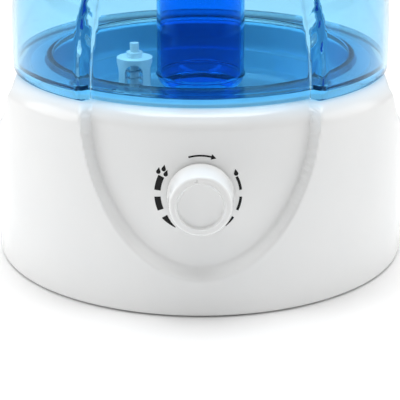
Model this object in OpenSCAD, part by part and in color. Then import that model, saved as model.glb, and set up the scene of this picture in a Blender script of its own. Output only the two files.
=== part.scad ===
// Cool mist humidifier: an ultrasonic base with a knob, and a lift-off water tank
// with a mist chimney. Millimetres, +Z up, front towards -Y, origin on the surface
// it stands on, under the middle of the base.

/* [Base housing] */
// Radius of the base at its foot
base_r = 120; // [112:1:144]
// How far the wall leans in between its foot and its shoulder
base_lean = 1.5; // [0:0.25:4]
// Height of the deck that the tank stands on
seat_z = 110; // [100:1:135]
// Radius of the rounded shoulder round the deck
shoulder_r = 10; // [6:0.5:12]
// Radius of the edge at the foot of the wall
edge_r = 3; // [1:0.5:4]
// Wall thickness of the housing
wall = 2.5; // [2:0.1:3]
// Gap between the surface and the edge of the housing
foot_gap = 1.5; // [1:0.1:3]

/* [Front shield] */
// Half the width of the sunk oval shield
shield_a = 60.3; // [50:0.1:66]
// How far the oval reaches below the deck
shield_low = 86.3; // [78:0.1:90]
// How far the oval reaches above the deck, on the tank
shield_high = 128; // [100:1:135]
// How deep the shield is sunk
shield_depth = 6.5; // [4:0.1:7]

/* [Finger scoops] */
// Half the width of each scoop at the deck
scoop_a = 51; // [40:1:56]
// How far each scoop reaches below the deck
scoop_h = 35; // [25:1:45]
// Depth of the scoop at its lower edge
scoop_low_depth = 7; // [5:0.5:8]
// Depth of the scoop at the deck, under the tank's edge
scoop_top_depth = 15; // [10:0.5:16]

/* [Bottom cover] */
// Thickness of the bottom cover
cover_t = 2.5; // [2:0.1:4]
// Gap round the cover, inside the housing
cover_gap = 0.3; // [0.1:0.1:0.6]
// Radius of each rubber foot
foot_r = 9; // [6:0.5:12]
// Distance of the feet from the middle
foot_ring_r = 92; // [80:1:98]
// How far each foot is let into the cover
foot_inset = 1; // [0.5:0.1:1.5]
// Width of each slot of the air intake
slot_w = 3; // [2:0.5:4]
// Number of slots in the air intake
slot_count = 7; // [5:1:9]

/* [Water basin] */
// Depth of the basin below the deck
basin_depth = 42; // [36:1:44]
// Wall thickness of the basin
basin_wall = 2.5; // [2:0.1:3]
// Width of the flange that hangs on the deck
flange_w = 6; // [5.5:0.1:7]
// Thickness of that flange
flange_t = 2; // [1.5:0.1:2.4]
// Radius of the transducer well
well_r = 24; // [20:1:28]
// Depth of the well below the basin floor
well_depth = 18; // [12:1:20]
// Thickness of the well's floor
well_floor = 5; // [4:0.5:6]
// Gap between the basin and the deck's opening
basin_gap = 0.3; // [0.1:0.1:0.6]

/* [Transducer] */
// Radius of the piezo disc
piezo_r = 10; // [8:0.5:12.5]
// Thickness of the piezo disc
piezo_t = 1.3; // [1:0.1:2]
// Radius of the aluminium plate that holds it
plate_r = 21; // [19:0.5:23]
// Thickness of that plate
plate_t = 5; // [4:0.5:7]

/* [Water tank] */
// Height of the tank's dome above the deck
tank_h = 162; // [140:1:200]
// Roundness of the dome: 2 is an ellipse, more is squarer
dome_power = 2.6; // [2.2:0.1:3.2]
// Wall thickness of the tank
tank_wall = 2.5; // [2:0.1:3]
// Gap between the deck and the tank's lower edge
seat_gap = 0.25; // [0.1:0.05:0.5]
// Height of the skirt below the tank's shelf
skirt_h = 4.4; // [4:0.1:6]
// How far the tank's tub reaches below the deck
tub_depth = 16; // [12:1:18]
// Gap between the tub and the basin wall
tub_gap = 2; // [1.5:0.1:3]
// Gap between the tank's skirt and the basin flange
skirt_gap = 0.9; // [0.4:0.1:1.5]

/* [Mist chimney] */
// Outer radius of the chimney
chimney_r = 25.5; // [22:0.5:28]
// Wall thickness of the chimney
chimney_wall = 2; // [1.5:0.1:2.5]
// Outer radius of its narrow foot
chimney_foot_r = 21.5; // [18:0.5:22]
// Height of the funnel from the foot to the full radius
funnel_h = 6; // [4:0.5:10]
// How far the foot reaches below the tank
chimney_skirt = 6; // [4:0.5:8]

/* [Tank cap and valve] */
// Sideways place of the filler cap
cap_x = -37; // [-45:1:-34]
// Front to back place of the filler cap
cap_y = -30; // [-36:1:-29]
// Outer radius of the filler cap
cap_r = 21.5; // [20:0.5:22]
// Wall thickness of the cap and its neck
cap_wall = 2; // [1.5:0.1:2.2]
// Height of the cap
cap_h = 13; // [11:0.5:14]
// Gap between the cap and its neck
cap_gap = 0.3; // [0.15:0.05:0.4]
// Outer radius of the valve's cage
cage_r = 10; // [9:0.5:11]
// How far the cage stands up inside the tank, above the tub's floor
cage_up = 23; // [20:1:30]
// Width of each window in the cage
window_w = 10; // [6:0.5:11]
// Travel of the valve
valve_travel = 4; // [3:0.5:5]
// Radius of the valve's stem
stem_r = 2.5; // [2:0.1:3]
// Running gap round the stem
stem_fit = 0.05; // [0.02:0.01:0.1]
// Gap between the lift pin and the stem
pin_gap = 0.3; // [0.2:0.1:0.5]

/* [Float] */
// Sideways place of the float
float_x = 58; // [52:1:62]
// Front to back place of the float
float_y = -20; // [-30:1:-10]
// Radius of the float
float_r = 11; // [9:0.5:12]
// Height of the float
float_h = 9; // [7:0.5:9]
// Rise of the float
float_travel = 8; // [6:0.5:8]

/* [Knob] */
// Height of the knob's axis
knob_z = 66.6; // [62:0.1:72]
// Radius at the back of the knob
knob_r = 17.2; // [15:0.1:19]
// Radius at the front of the knob
knob_tip_r = 16; // [14:0.1:18]
// Length of the knob
knob_l = 17.4; // [14:0.1:20]
// Gap between the knob and the panel
knob_gap = 0.6; // [0.4:0.1:1]
// Radius of the dish in the knob's face
dish_r = 11.5; // [9:0.1:13]
// Radius of the control's shaft
shaft_r = 3; // [2.5:0.1:3.2]
// Running gap round the shaft
shaft_fit = 0.05; // [0.02:0.01:0.1]

/* [Fan and air path] */
// Side of the square fan frame
fan_side = 50; // [45:1:52]
// Thickness of the fan
fan_t = 15; // [12:1:20]
// Distance of the fan behind the middle
fan_y = 60; // [58:1:64]
// Outer radius of the air duct
duct_r = 16; // [14:0.5:18]
// Wall thickness of the duct
duct_wall = 1.5; // [1.2:0.1:2]
// Gap between the air riser's mouth and the tank
riser_gap = 4.5; // [4:0.5:6]

/* [Mist nozzle] */
// Radius of the nozzle's foot
nozzle_r = 32; // [30:0.5:34]
// Height of the nozzle's bell
nozzle_h = 24; // [20:1:30]
// Wall thickness of the nozzle
nozzle_wall = 2; // [1.6:0.1:2.4]
// Radius of the spout
spout_r = 11.5; // [10:0.5:13]
// Length of the spout from the nozzle's axis
spout_l = 31; // [28:0.5:34]
// Angle of the spout above level
spout_rise = 35; // [25:1:45]
// Height of the collar above the dome's top
collar_h = 3; // [2:0.5:4]
// Gap round the nozzle's spigot
nozzle_fit = 0.3; // [0.2:0.05:0.5]

/* [Hidden] */
$fn = 96;
eps = 0.01;
// Parting between two pieces that turn or slide against each other
part_gap = 0.3;

// Levels of the base
cover_top = foot_gap + cover_t;
basin_z = seat_z - basin_depth;
basin_under = basin_z - basin_wall;
well_z = basin_z - well_depth;
well_under = well_z - well_floor;

// Radii that follow from the base and its shoulder
rim_r = base_r - base_lean - shoulder_r;
tank_r = rim_r;
cover_r = base_r - wall - cover_gap;
flange_r = tank_r - shield_depth - tank_wall - skirt_gap;
basin_out_r = flange_r - flange_w;
basin_in_r = basin_out_r - basin_wall;
deck_open_r = basin_out_r + basin_gap;
tub_r = basin_in_r - tub_gap;

// Screws
screw_r = 1.4;
screw_head_r = 2.5;
screw_head_h = 1.4;
screw_play = 0.05;
boss_r = 4.5;
boss_h = 16;
boss_sink = 0.5;
boss_ring_r = base_r - wall - boss_r + boss_sink;
deck_boss_r = 2.6;
deck_boss_h = 10;
flange_screw_ring_r = basin_out_r + flange_w / 2 - 0.1;

// Levels of the tank
tank_z = seat_z + seat_gap;
shelf_z = tank_z + skirt_h;
shelf_t = 2.5;
tub_z = seat_z - tub_depth;
tub_floor_z = tub_z + tank_wall;
dome_z = tank_z + tank_h;
collar_top = dome_z + collar_h;

// Filler cap and valve
cap_z = tub_z - cap_h - cap_wall;
cap_top = cap_z + cap_wall + cap_h - 2;
neck_r = cap_r - cap_wall - cap_gap;
neck_in_r = neck_r - cap_wall;
seal_t = 2.5;
seal_squeeze = 0.05;
neck_z = cap_z + cap_wall + seal_t;
lug_h = 0.2;
lug_t = 1.6;
lug_w = 8;
seat_hole_r = 5.5;
disc_r = 7.6;
disc_t = 2;
disc_z = cap_z + cap_wall + valve_travel + 0.1;
spider_r = 4.2;
spider_w = 1.6;
cage_wall = 1.6;
cage_top = tub_floor_z + cage_up;
pin_top = cap_z - valve_travel;
stem_low = pin_top + pin_gap;
plunger_t = 1.6;
spring_r = 5;
spring_wire = 0.45;
spring_turns = 7;
spring_low = disc_z + disc_t + plunger_t;
spring_high = cage_top - cage_wall;

// Gasket that grips the piezo disc
gasket_t = 3.4;
gasket_r = 13.5;
gasket_grip = 1.5;
plate_screw_ring_r = plate_r - 3.5;

// Float
post_r = 3;
post_fit = 0.4;
float_z = basin_z + 0.5;
post_top = float_z + float_h + float_travel + 1.5;
keeper_t = 1.5;
keeper_r = 5.5;

// Panel behind the knob
lean_low = foot_gap + edge_r;
lean_high = seat_z - shoulder_r;
panel_r = base_r - base_lean * (knob_z - lean_low) / (lean_high - lean_low) - shield_depth;
pad_r = 10.5;
pad_t = 1.7;
panel_in = panel_r - wall - pad_t;
nut_seat_r = 8.5;
nut_seat = panel_r - 0.6;
nut_r = 6;
nut_t = 2;
bushing_r = 3.5;
bushing_play = 0.1;
bushing_end = nut_seat + nut_t + 2.5;
pot_r = 8.5;
pot_l = 9;
shaft_end = bushing_end + 10.5;
knob_back = panel_r + knob_gap;
knob_front = knob_back + knob_l;
knob_skin = 2.2;
knob_cavity_l = 11;
hub_r = 6.5;
hub_back = bushing_end + 1.2;

// Dial marks round the knob's axis, as [start angle, end angle]
ink_t = 0.12;
left_marks = [[154.5, 174.8], [184, 202.5]];
left_tail = [213, 234];
left_r = 20.9;
left_w = 3.3;
left_tail_out = 1.3;
right_marks = [[6.5, 27], [-24.5, -4]];
right_tail = [-36, -52.5];
right_r = 20.3;
right_w = 1.4;
right_tail_out = 1.2;
tail_tip = 0.3;
// Drops of the scale, as [x, height, lean]
drop_r = 1.15;
drop_tip = 2.55;
left_drops = [[-21.9, 12.1, -10], [-19.1, 13.6, -10], [-18.1, 10.9, -20]];
right_drops = [[18.4, 11.3, 11]];
arrow_r = 21.5;
arrow_w = 0.9;
arrow_head = 1.5;
arrow_span = [75, 107];
arrow_tip = 68;

// Air path
fan_post = 4;
fan_z = cover_top + fan_post;
fan_top = fan_z + fan_t;
fan_hole_r = fan_side / 2 - 2.5;
fan_fit = 0.05;
fan_screw_pitch = fan_side - 8;
fan_hub_r = 11;
fan_plate_t = 1.5;
fan_tube_r = 3;
fan_shaft_r = 1;
blade_count = 7;
blade_pitch = 38;
duct_flange_t = 2;
duct_cone_h = 12;
riser_top = tub_z - riser_gap;

// Circuit boards
board_l = 58;
board_w = 60;
board_t = 1.6;
board_x = 68;
board_z = cover_top + 8;
board_post_r = 2.8;
board_hole_in = 4;

// Cord inlet
cord_hole_z = 16;
cord_hole_r = 6;
cord_bore_r = 3.2;
cord_slot_top = cord_hole_z + cord_hole_r;
grommet_lip = 2;
grommet_neck_r = cord_hole_r - 0.5;
grommet_play = 0.05;

// Points on an arc in the plane, from angle a0 to a1
function arc(x, y, r, a0, a1, n = 8) =
    [for (i = [0:n]) let (a = a0 + (a1 - a0) * i / n) [x + r * cos(a), y + r * sin(a)]];

// Copies placed round the Z axis
module around(count, radius, start = 0) {
    for (i = [0:count - 1])
        rotate([0, 0, start + 360 / count * i])
            translate([radius, 0, 0])
                children();
}

// A flat shape seen from the front, pushed out towards -Y
module from_front(depth) {
    rotate([90, 0, 0])
        linear_extrude(depth)
            children();
}

module tube(r_out, r_in, h) {
    difference() {
        cylinder(r = r_out, h = h);
        translate([0, 0, -eps])
            cylinder(r = r_in, h = h + 2 * eps);
    }
}

// A cross-head screw: its head stands on z = 0 and its shank points down
module screw(length, r = screw_r) {
    slot = 0.6;
    difference() {
        union() {
            cylinder(r = screw_head_r, h = screw_head_h);
            translate([0, 0, -length])
                cylinder(r = r, h = length + eps);
        }
        for (turn = [0, 90])
            rotate([0, 0, turn])
                translate([-screw_head_r * 0.6, -slot / 2, screw_head_h / 2])
                    cube([screw_head_r * 1.2, slot, screw_head_h]);
    }
}

// ---- Outer form of the base ----

// The turned form: shift moves it in towards the axis, inset thins it
module base_form(shift, inset, low) {
    shoulder_x = rim_r - shift;
    shoulder_z = seat_z - shoulder_r;
    foot_x = base_r - shift - inset;
    foot = (low < foot_gap)
        ? [[foot_x, low]]
        : arc(foot_x - edge_r, foot_gap + edge_r, edge_r, -90, 0, 5);
    rotate_extrude()
        polygon(concat(
            [[0, low]],
            foot,
            arc(shoulder_x, shoulder_z, shoulder_r - inset, 0, 90, 8),
            [[0, seat_z - inset]]
        ));
}

// The oval of the front shield, grown by a margin
module shield_oval(margin) {
    steps = 60;
    polygon([for (i = [0:steps - 1])
        let (a = 360 * i / steps, high = sin(a) > 0 ? shield_high : shield_low)
        [(shield_a + margin) * cos(a), seat_z + (high + margin) * sin(a)]]);
}

// One side's finger scoop, grown by a margin
module scoop(margin) {
    low_x = base_r - base_lean - scoop_low_depth - margin;
    lean = atan((scoop_top_depth - scoop_low_depth) / scoop_h);
    reach = 60;
    steps = 40;
    intersection() {
        translate([base_r / 2, 0, seat_z])
            rotate([90, 0, 90])
                linear_extrude(base_r)
                    polygon([for (i = [0:steps - 1])
                        let (a = 360 * i / steps)
                        [(scoop_a + margin) * cos(a), (scoop_h + margin) * sin(a)]]);
        translate([low_x, 0, seat_z - scoop_h])
            rotate([0, -lean, 0])
                translate([0, -base_r, -reach])
                    cube([reach, 2 * base_r, 3 * reach]);
    }
}

// The base's outer form with its shield and scoops, thinned by inset
module base_body(inset, low) {
    difference() {
        union() {
            difference() {
                base_form(0, inset, low);
                from_front(2 * base_r)
                    shield_oval(inset);
            }
            base_form(shield_depth, inset, low);
        }
        scoop(inset);
        mirror([1, 0, 0])
            scoop(inset);
    }
}

module base_housing() {
    color("whitesmoke")
        difference() {
            base_body(0, foot_gap);
            // Hollow inside, with the pad and the bosses left standing
            difference() {
                base_body(wall, foot_gap - 1);
                // Flat pad that the control is clamped to
                translate([0, -panel_in, knob_z])
                    rotate([90, 0, 0])
                        cylinder(r = pad_r, h = base_r);
                // Bosses for the cover and for the basin
                around(4, boss_ring_r, 45)
                    translate([0, 0, cover_top])
                        cylinder(r = boss_r, h = boss_h);
                around(4, flange_screw_ring_r, 45)
                    translate([0, 0, seat_z - wall - deck_boss_h])
                        cylinder(r = deck_boss_r, h = deck_boss_h + wall);
            }
            // Opening for the basin
            translate([0, 0, seat_z - wall - 1])
                cylinder(r = deck_open_r, h = wall + 2);
            // Screw holes
            around(4, boss_ring_r, 45)
                translate([0, 0, cover_top - 1])
                    cylinder(r = screw_r + screw_play, h = boss_h - 2, $fn = 32);
            around(4, flange_screw_ring_r, 45)
                translate([0, 0, seat_z - wall - deck_boss_h + 1])
                    cylinder(r = screw_r + screw_play, h = deck_boss_h + wall, $fn = 32);
            // Hole for the control's bushing, and the flat its nut sits on
            translate([0, 0, knob_z])
                rotate([90, 0, 0])
                    cylinder(r = bushing_r + bushing_play, h = 2 * base_r);
            translate([0, -nut_seat, knob_z])
                rotate([90, 0, 0])
                    cylinder(r = nut_seat_r, h = shield_depth);
            // Slot for the cord's grommet at the back, open at the foot
            translate([-cord_hole_r, base_r / 2, foot_gap - 1])
                cube([2 * cord_hole_r, base_r, cord_slot_top - foot_gap + 1]);
        }
}

module bottom_cover() {
    slot_l = fan_side - 20;
    slot_pitch = (fan_side - 8) / slot_count;
    color("gainsboro")
        difference() {
            union() {
                translate([0, 0, foot_gap])
                    cylinder(r = cover_r, h = cover_t);
                // Posts for the fan and for the boards
                translate([0, fan_y, cover_top - eps])
                    corners(fan_screw_pitch, fan_screw_pitch)
                        cylinder(r = 3.2, h = fan_post + eps);
                for (side = [-1, 1])
                    translate([side * board_x, 0, cover_top - eps])
                        corners(board_l - 2 * board_hole_in, board_w - 2 * board_hole_in)
                            cylinder(r = board_post_r, h = board_z - cover_top + eps);
            }
            translate([0, fan_y, 0])
                corners(fan_screw_pitch, fan_screw_pitch)
                    translate([0, 0, foot_gap + 1])
                        cylinder(r = screw_r + screw_play, h = fan_post + cover_t, $fn = 32);
            for (side = [-1, 1])
                translate([side * board_x, 0, foot_gap + 1])
                    corners(board_l - 2 * board_hole_in, board_w - 2 * board_hole_in)
                        cylinder(r = screw_r + screw_play, h = board_z, $fn = 32);
            // Sockets for the feet
            around(4, foot_ring_r, 0)
                translate([0, 0, foot_gap - 1])
                    cylinder(r = foot_r + cover_gap, h = foot_inset + 1);
            // Screw holes, sunk so that the heads clear the surface
            around(4, boss_ring_r, 45) {
                cylinder(r = screw_r + screw_play, h = 2 * cover_top, $fn = 32);
                cylinder(r = screw_head_r + cover_gap, h = foot_gap + screw_head_h, $fn = 48);
            }
            // Air intake under the fan
            for (i = [0:slot_count - 1])
                translate([
                    (i - (slot_count - 1) / 2) * slot_pitch - slot_w / 2,
                    fan_y - slot_l / 2,
                    0
                ])
                    cube([slot_w, slot_l, 2 * cover_top]);
        }
}

// Copies at the four corners of a rectangle
module corners(pitch_x, pitch_y) {
    for (x = [-1, 1])
        for (y = [-1, 1])
            translate([x * pitch_x / 2, y * pitch_y / 2, 0])
                children();
}

module rubber_feet() {
    foot_h = foot_gap + foot_inset;
    color("dimgray")
        around(4, foot_ring_r, 0)
            rotate_extrude()
                polygon([
                    [0, 0], [foot_r - 1, 0], [foot_r, 0.8], [foot_r, foot_h], [0, foot_h]
                ]);
}

module cover_screws() {
    color("silver")
        around(4, boss_ring_r, 45)
            translate([0, 0, foot_gap + screw_head_h])
                mirror([0, 0, 1])
                    screw(12);
}

// ---- Water basin ----

module water_basin() {
    arm = 1.4;
    color("white")
        difference() {
            union() {
                // Flange, wall and floor
                translate([0, 0, seat_z])
                    cylinder(r = flange_r, h = flange_t);
                translate([0, 0, basin_under])
                    cylinder(r = basin_out_r, h = seat_z - basin_under + eps);
                translate([0, 0, well_under])
                    cylinder(r = well_r + basin_wall, h = basin_z - well_under);
                // Spigot that the air duct pushes onto
                translate([0, fan_y, basin_under - 4])
                    cylinder(r = duct_r - duct_wall - 0.1, h = 5);
            }
            difference() {
                translate([0, 0, basin_z])
                    cylinder(r = basin_in_r, h = basin_depth + flange_t + 1);
                // Riser that lets the air in above the water
                translate([0, fan_y, basin_z - eps])
                    cylinder(r = duct_r, h = riser_top - basin_z);
                // Pin that lifts the tank's valve
                translate([cap_x, cap_y, basin_z - eps]) {
                    cylinder(r = stem_r + 0.8, h = pin_top - basin_z);
                    for (turn = [0:60:120])
                        rotate([0, 0, turn])
                            translate([-6, -arm / 2, 0])
                                cube([12, arm, (pin_top - basin_z) * 0.6]);
                }
                // Post that guides the float
                translate([float_x, float_y, basin_z - eps])
                    cylinder(r = post_r, h = post_top - basin_z);
            }
            translate([0, 0, well_z])
                cylinder(r = well_r, h = well_depth + 1);
            // Hole above the piezo disc
            translate([0, 0, well_under - 1])
                cylinder(r = piezo_r - gasket_grip, h = well_floor + 2);
            // Blind holes for the transducer's screws
            around(3, plate_screw_ring_r, 90)
                translate([0, 0, well_under - eps])
                    cylinder(r = screw_r + screw_play, h = well_floor - 1.5, $fn = 32);
            // Air passage
            translate([0, fan_y, basin_under - 5])
                cylinder(r = duct_r - 2 * duct_wall, h = basin_depth + 8);
            around(4, flange_screw_ring_r, 45)
                translate([0, 0, seat_z - 1])
                    cylinder(r = screw_r + screw_play, h = flange_t + 2, $fn = 32);
        }
}

module basin_screws() {
    color("silver")
        around(4, flange_screw_ring_r, 45)
            translate([0, 0, seat_z + flange_t])
                screw(9);
}

// ---- Transducer ----

module transducer_disc() {
    color("goldenrod")
        translate([0, 0, well_under - (gasket_t + piezo_t) / 2])
            cylinder(r = piezo_r, h = piezo_t);
}

module transducer_seal() {
    color("darkgray")
        difference() {
            translate([0, 0, well_under - gasket_t])
                tube(gasket_r, piezo_r - gasket_grip, gasket_t);
            translate([0, 0, well_under - (gasket_t + piezo_t) / 2])
                cylinder(r = piezo_r, h = piezo_t);
        }
}

module transducer_plate() {
    fin_h = 5;
    fin_t = 1.6;
    fin_pitch = 5;
    color("silver")
        translate([0, 0, well_under - gasket_t - plate_t])
            difference() {
                union() {
                    cylinder(r = plate_r, h = plate_t);
                    translate([0, 0, plate_t - eps])
                        tube(plate_r, gasket_r + 0.2, gasket_t - 0.1);
                    for (i = [-2:2])
                        translate([i * fin_pitch - fin_t / 2, -plate_r * 0.55, -fin_h])
                            cube([fin_t, plate_r * 1.1, fin_h + eps]);
                }
                translate([0, 0, plate_t - 2])
                    cylinder(r = piezo_r - gasket_grip, h = 4);
                around(3, plate_screw_ring_r, 90)
                    translate([0, 0, -fin_h])
                        cylinder(r = screw_r + screw_play, h = plate_t + gasket_t + fin_h + 1, $fn = 32);
            }
}

module transducer_screws() {
    color("silver")
        around(3, plate_screw_ring_r, 90)
            translate([0, 0, well_under - gasket_t - plate_t])
                mirror([0, 0, 1])
                    screw(plate_t + gasket_t + well_floor - 2);
}

// ---- Electronics ----

module board(side) {
    translate([side * board_x, 0, board_z])
        difference() {
            translate([-board_l / 2, -board_w / 2, 0])
                cube([board_l, board_w, board_t]);
            corners(board_l - 2 * board_hole_in, board_w - 2 * board_hole_in)
                translate([0, 0, -1])
                    cylinder(r = screw_r + 0.2, h = board_t + 2, $fn = 32);
        }
}

// A pin header: a block with a row of pins
module header(pins) {
    pitch = 2.54;
    length = pins * pitch + 1;
    difference() {
        translate([-length / 2, -3, 0])
            cube([length, 6, 8]);
        translate([-length / 2 + 0.8, -2.2, 1.5])
            cube([length - 1.6, 4.4, 8]);
    }
    for (i = [0:pins - 1])
        translate([(i - (pins - 1) / 2) * pitch - 0.3, -0.3, 1])
            cube([0.6, 0.6, 5]);
}

module driver_board() {
    color("darkgreen") {
        board(-1);
        translate([-board_x, 22, board_z + board_t - eps])
            header(6);
        translate([-board_x + 16, -14, board_z + board_t - eps])
            cylinder(r = 5, h = 11);
        translate([-board_x + 5, -20, board_z + board_t - eps])
            cylinder(r = 4, h = 8);
        translate([-board_x - 6, 2, board_z + board_t - eps])
            cube([12, 9, 3]);
    }
}

module driver_heatsink() {
    fins = 6;
    length = 36;
    pitch = 5;
    color("slategray")
        translate([-board_x - board_l / 2 + 3, -length / 2 + 3, board_z + board_t])
            union() {
                cube([2.5, length, 26]);
                for (i = [0:fins - 1])
                    translate([2.4, i * pitch + (length - (fins - 1) * pitch) / 2 - 0.6, 0])
                        cube([9, 1.2, 26]);
            }
}

module driver_inductor() {
    color("peru")
        translate([-board_x + 14, 4, board_z + board_t + 9.2])
            rotate([90, 0, 0])
                rotate_extrude()
                    translate([6, 0])
                        circle(r = 3.1, $fn = 32);
}

module power_board() {
    color("darkgreen") {
        board(1);
        translate([board_x, 23, board_z + board_t - eps])
            header(5);
        translate([board_x + 20, -14, board_z + board_t - eps])
            cube([7, 18, 12]);
        translate([board_x - 24, -10, board_z + board_t - eps])
            cube([6, 10, 14]);
    }
}

module power_transformer() {
    color("dimgray")
        translate([board_x - 2, -2, board_z + board_t])
            union() {
                translate([-15, -13, 0])
                    cube([30, 26, 6]);
                translate([-9, -13, 5.9])
                    cube([18, 26, 18]);
                translate([-15, -8, 5.9])
                    cube([30, 16, 18]);
                translate([-15, -13, 23.8])
                    cube([30, 26, 5]);
            }
}

module power_capacitor() {
    color("steelblue")
        translate([board_x - 12, -22, board_z + board_t])
            rotate_extrude()
                polygon(concat([[0, 0], [5.5, 0]], arc(4.7, 17.2, 0.8, 0, 90, 3), [[0, 18]]));
}

module board_screws() {
    color("silver")
        for (side = [-1, 1])
            translate([side * board_x, 0, board_z + board_t])
                corners(board_l - 2 * board_hole_in, board_w - 2 * board_hole_in)
                    screw(7);
}

// ---- Fan and air duct ----

module fan_frame() {
    bore = fan_shaft_r + fan_fit;
    color("dimgray")
        translate([0, fan_y, fan_z])
            difference() {
                union() {
                    difference() {
                        translate([-fan_side / 2, -fan_side / 2, 0])
                            cube([fan_side, fan_side, fan_t]);
                        translate([0, 0, -1])
                            cylinder(r = fan_hole_r, h = fan_t + 2);
                    }
                    cylinder(r = fan_hub_r, h = fan_plate_t);
                    cylinder(r = fan_tube_r, h = fan_t - 4);
                    for (turn = [45:90:315])
                        rotate([0, 0, turn])
                            translate([fan_hub_r - 1, -1.2, 0])
                                cube([fan_hole_r - fan_hub_r + 2, 2.4, fan_plate_t]);
                }
                translate([0, 0, 1])
                    cylinder(r = bore, h = fan_t);
                corners(fan_screw_pitch, fan_screw_pitch)
                    translate([0, 0, -1])
                        cylinder(r = screw_r + screw_play, h = fan_t + 2, $fn = 32);
            }
}

module fan_stator() {
    poles = 4;
    color("saddlebrown")
        translate([0, fan_y, fan_z + fan_plate_t]) {
            tube(4.6, fan_tube_r, fan_t - 7);
            for (i = [0:poles - 1])
                rotate([0, 0, 360 / poles * i])
                    translate([4.4, -2.2, 1])
                        cube([3.4, 4.4, fan_t - 9]);
        }
}

module fan_impeller() {
    cup_low = fan_plate_t + 0.5;
    cup_top = fan_t - 1;
    blade_h = cup_top - cup_low - 2;
    blade_tip = fan_hole_r - 0.8;
    color("black")
        translate([0, fan_y, fan_z])
            intersection() {
                union() {
                    translate([0, 0, cup_low])
                        difference() {
                            cylinder(r = fan_hub_r, h = cup_top - cup_low);
                            translate([0, 0, -1])
                                cylinder(r = fan_hub_r - 1.6, h = cup_top - cup_low - 1.2 + 1);
                        }
                    translate([0, 0, 3])
                        cylinder(r = fan_shaft_r, h = cup_top - 3);
                    difference() {
                        for (i = [0:blade_count - 1])
                            rotate([0, 0, 360 / blade_count * i])
                                translate([0, 0, (cup_low + cup_top) / 2])
                                    rotate([blade_pitch, 0, 0])
                                        translate([fan_hub_r - 1.2, -7, -0.6])
                                            cube([blade_tip, 14, 1.2]);
                        cylinder(r = fan_hub_r - 0.8, h = fan_t);
                    }
                }
                translate([0, 0, cup_low])
                    cylinder(r = blade_tip, h = cup_top - cup_low);
            }
}

module fan_screws() {
    color("silver")
        translate([0, fan_y, fan_top + duct_flange_t])
            corners(fan_screw_pitch, fan_screw_pitch)
                screw(fan_t + duct_flange_t + fan_post + 1);
}

module air_duct() {
    top = basin_under - fan_top;
    cone_low = fan_hole_r + duct_wall;
    color("lightgray")
        translate([0, fan_y, fan_top])
            difference() {
                union() {
                    translate([-fan_side / 2, -fan_side / 2, 0])
                        cube([fan_side, fan_side, duct_flange_t]);
                    rotate_extrude()
                        polygon([
                            [0, 0], [cone_low, 0], [cone_low, duct_flange_t],
                            [duct_r, duct_flange_t + duct_cone_h], [duct_r, top], [0, top]
                        ]);
                }
                translate([0, 0, -eps])
                    rotate_extrude()
                        polygon([
                            [0, 0], [fan_hole_r, 0], [fan_hole_r, duct_flange_t],
                            [duct_r - duct_wall, duct_flange_t + duct_cone_h],
                            [duct_r - duct_wall, top + 1], [0, top + 1]
                        ]);
                corners(fan_screw_pitch, fan_screw_pitch)
                    translate([0, 0, -1])
                        cylinder(r = screw_r + screw_play, h = duct_flange_t + 2, $fn = 32);
            }
}

// ---- Control ----

// A part turned about the knob's axis: its own +Z points out of the panel
module on_knob_axis(out) {
    translate([0, -out, knob_z])
        rotate([90, 0, 0])
            children();
}

module potentiometer() {
    color("darkkhaki")
        difference() {
            union() {
                on_knob_axis(panel_in - pot_l)
                    cylinder(r = pot_r, h = pot_l);
                on_knob_axis(panel_in - eps)
                    cylinder(r = bushing_r, h = bushing_end - panel_in);
                // Terminals
                for (x = [-5, 0, 5])
                    translate([x - 0.6, -panel_in + 3, knob_z - pot_r - 5])
                        cube([1.2, 0.8, 8]);
            }
            on_knob_axis(panel_in - pot_l + 2)
                cylinder(r = shaft_r + shaft_fit, h = 2 * pot_l + bushing_end);
        }
}

module potentiometer_nut() {
    color("silver")
        on_knob_axis(nut_seat)
            difference() {
                cylinder(r = nut_r, h = nut_t, $fn = 6);
                translate([0, 0, -1])
                    cylinder(r = bushing_r + 0.02, h = nut_t + 2);
            }
}

module control_shaft() {
    start = panel_in - pot_l + 2.5;
    flat = 1.6;
    color("silver")
        on_knob_axis(start)
            difference() {
                cylinder(r = shaft_r, h = shaft_end - start);
                translate([flat, -shaft_r, hub_back - start])
                    cube([shaft_r, 2 * shaft_r, shaft_end]);
            }
}

module control_knob() {
    dish_d = 1.4;
    lip = 0.8;
    edge = 1.8;
    pointer_r = 14;
    color("white")
        on_knob_axis(knob_back)
            difference() {
                rotate_extrude()
                    polygon(concat(
                        [[0, 0], [knob_r, 0]],
                        arc(knob_tip_r - edge, knob_l - edge, edge, 0, 90, 6),
                        [
                            [dish_r + lip + 0.5, knob_l],
                            [dish_r + lip, knob_l + 0.3],
                            [dish_r, knob_l + 0.3],
                            [dish_r - 0.4, knob_l - dish_d],
                            [0, knob_l - dish_d]
                        ]
                    ));
                // Hollow back, with the hub left standing
                difference() {
                    translate([0, 0, -1])
                        cylinder(r = knob_tip_r - knob_skin, h = knob_cavity_l + 1);
                    translate([0, 0, hub_back - knob_back])
                        cylinder(r = hub_r, h = knob_l);
                }
                translate([0, 0, -1])
                    cylinder(r = shaft_r + shaft_fit, h = shaft_end - knob_back + 1.3);
                // Dimple that shows the setting
                rotate([0, 0, 9])
                    translate([0, pointer_r, knob_l])
                        cylinder(r = 0.8, h = 1.2, center = true, $fn = 24);
            }
}

// A band of ink from angle a0 to a1: its inner radius and its width both change evenly
module ink_band(a0, r0, w0, a1, r1, w1) {
    n = 8;
    polygon(concat(
        [for (i = [0:n])
            let (a = a0 + (a1 - a0) * i / n, r = r0 + (r1 - r0) * i / n)
            [r * cos(a), r * sin(a)]],
        [for (i = [n:-1:0])
            let (a = a0 + (a1 - a0) * i / n, r = r0 + w0 + (r1 + w1 - r0 - w0) * i / n)
            [r * cos(a), r * sin(a)]]
    ));
}

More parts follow.
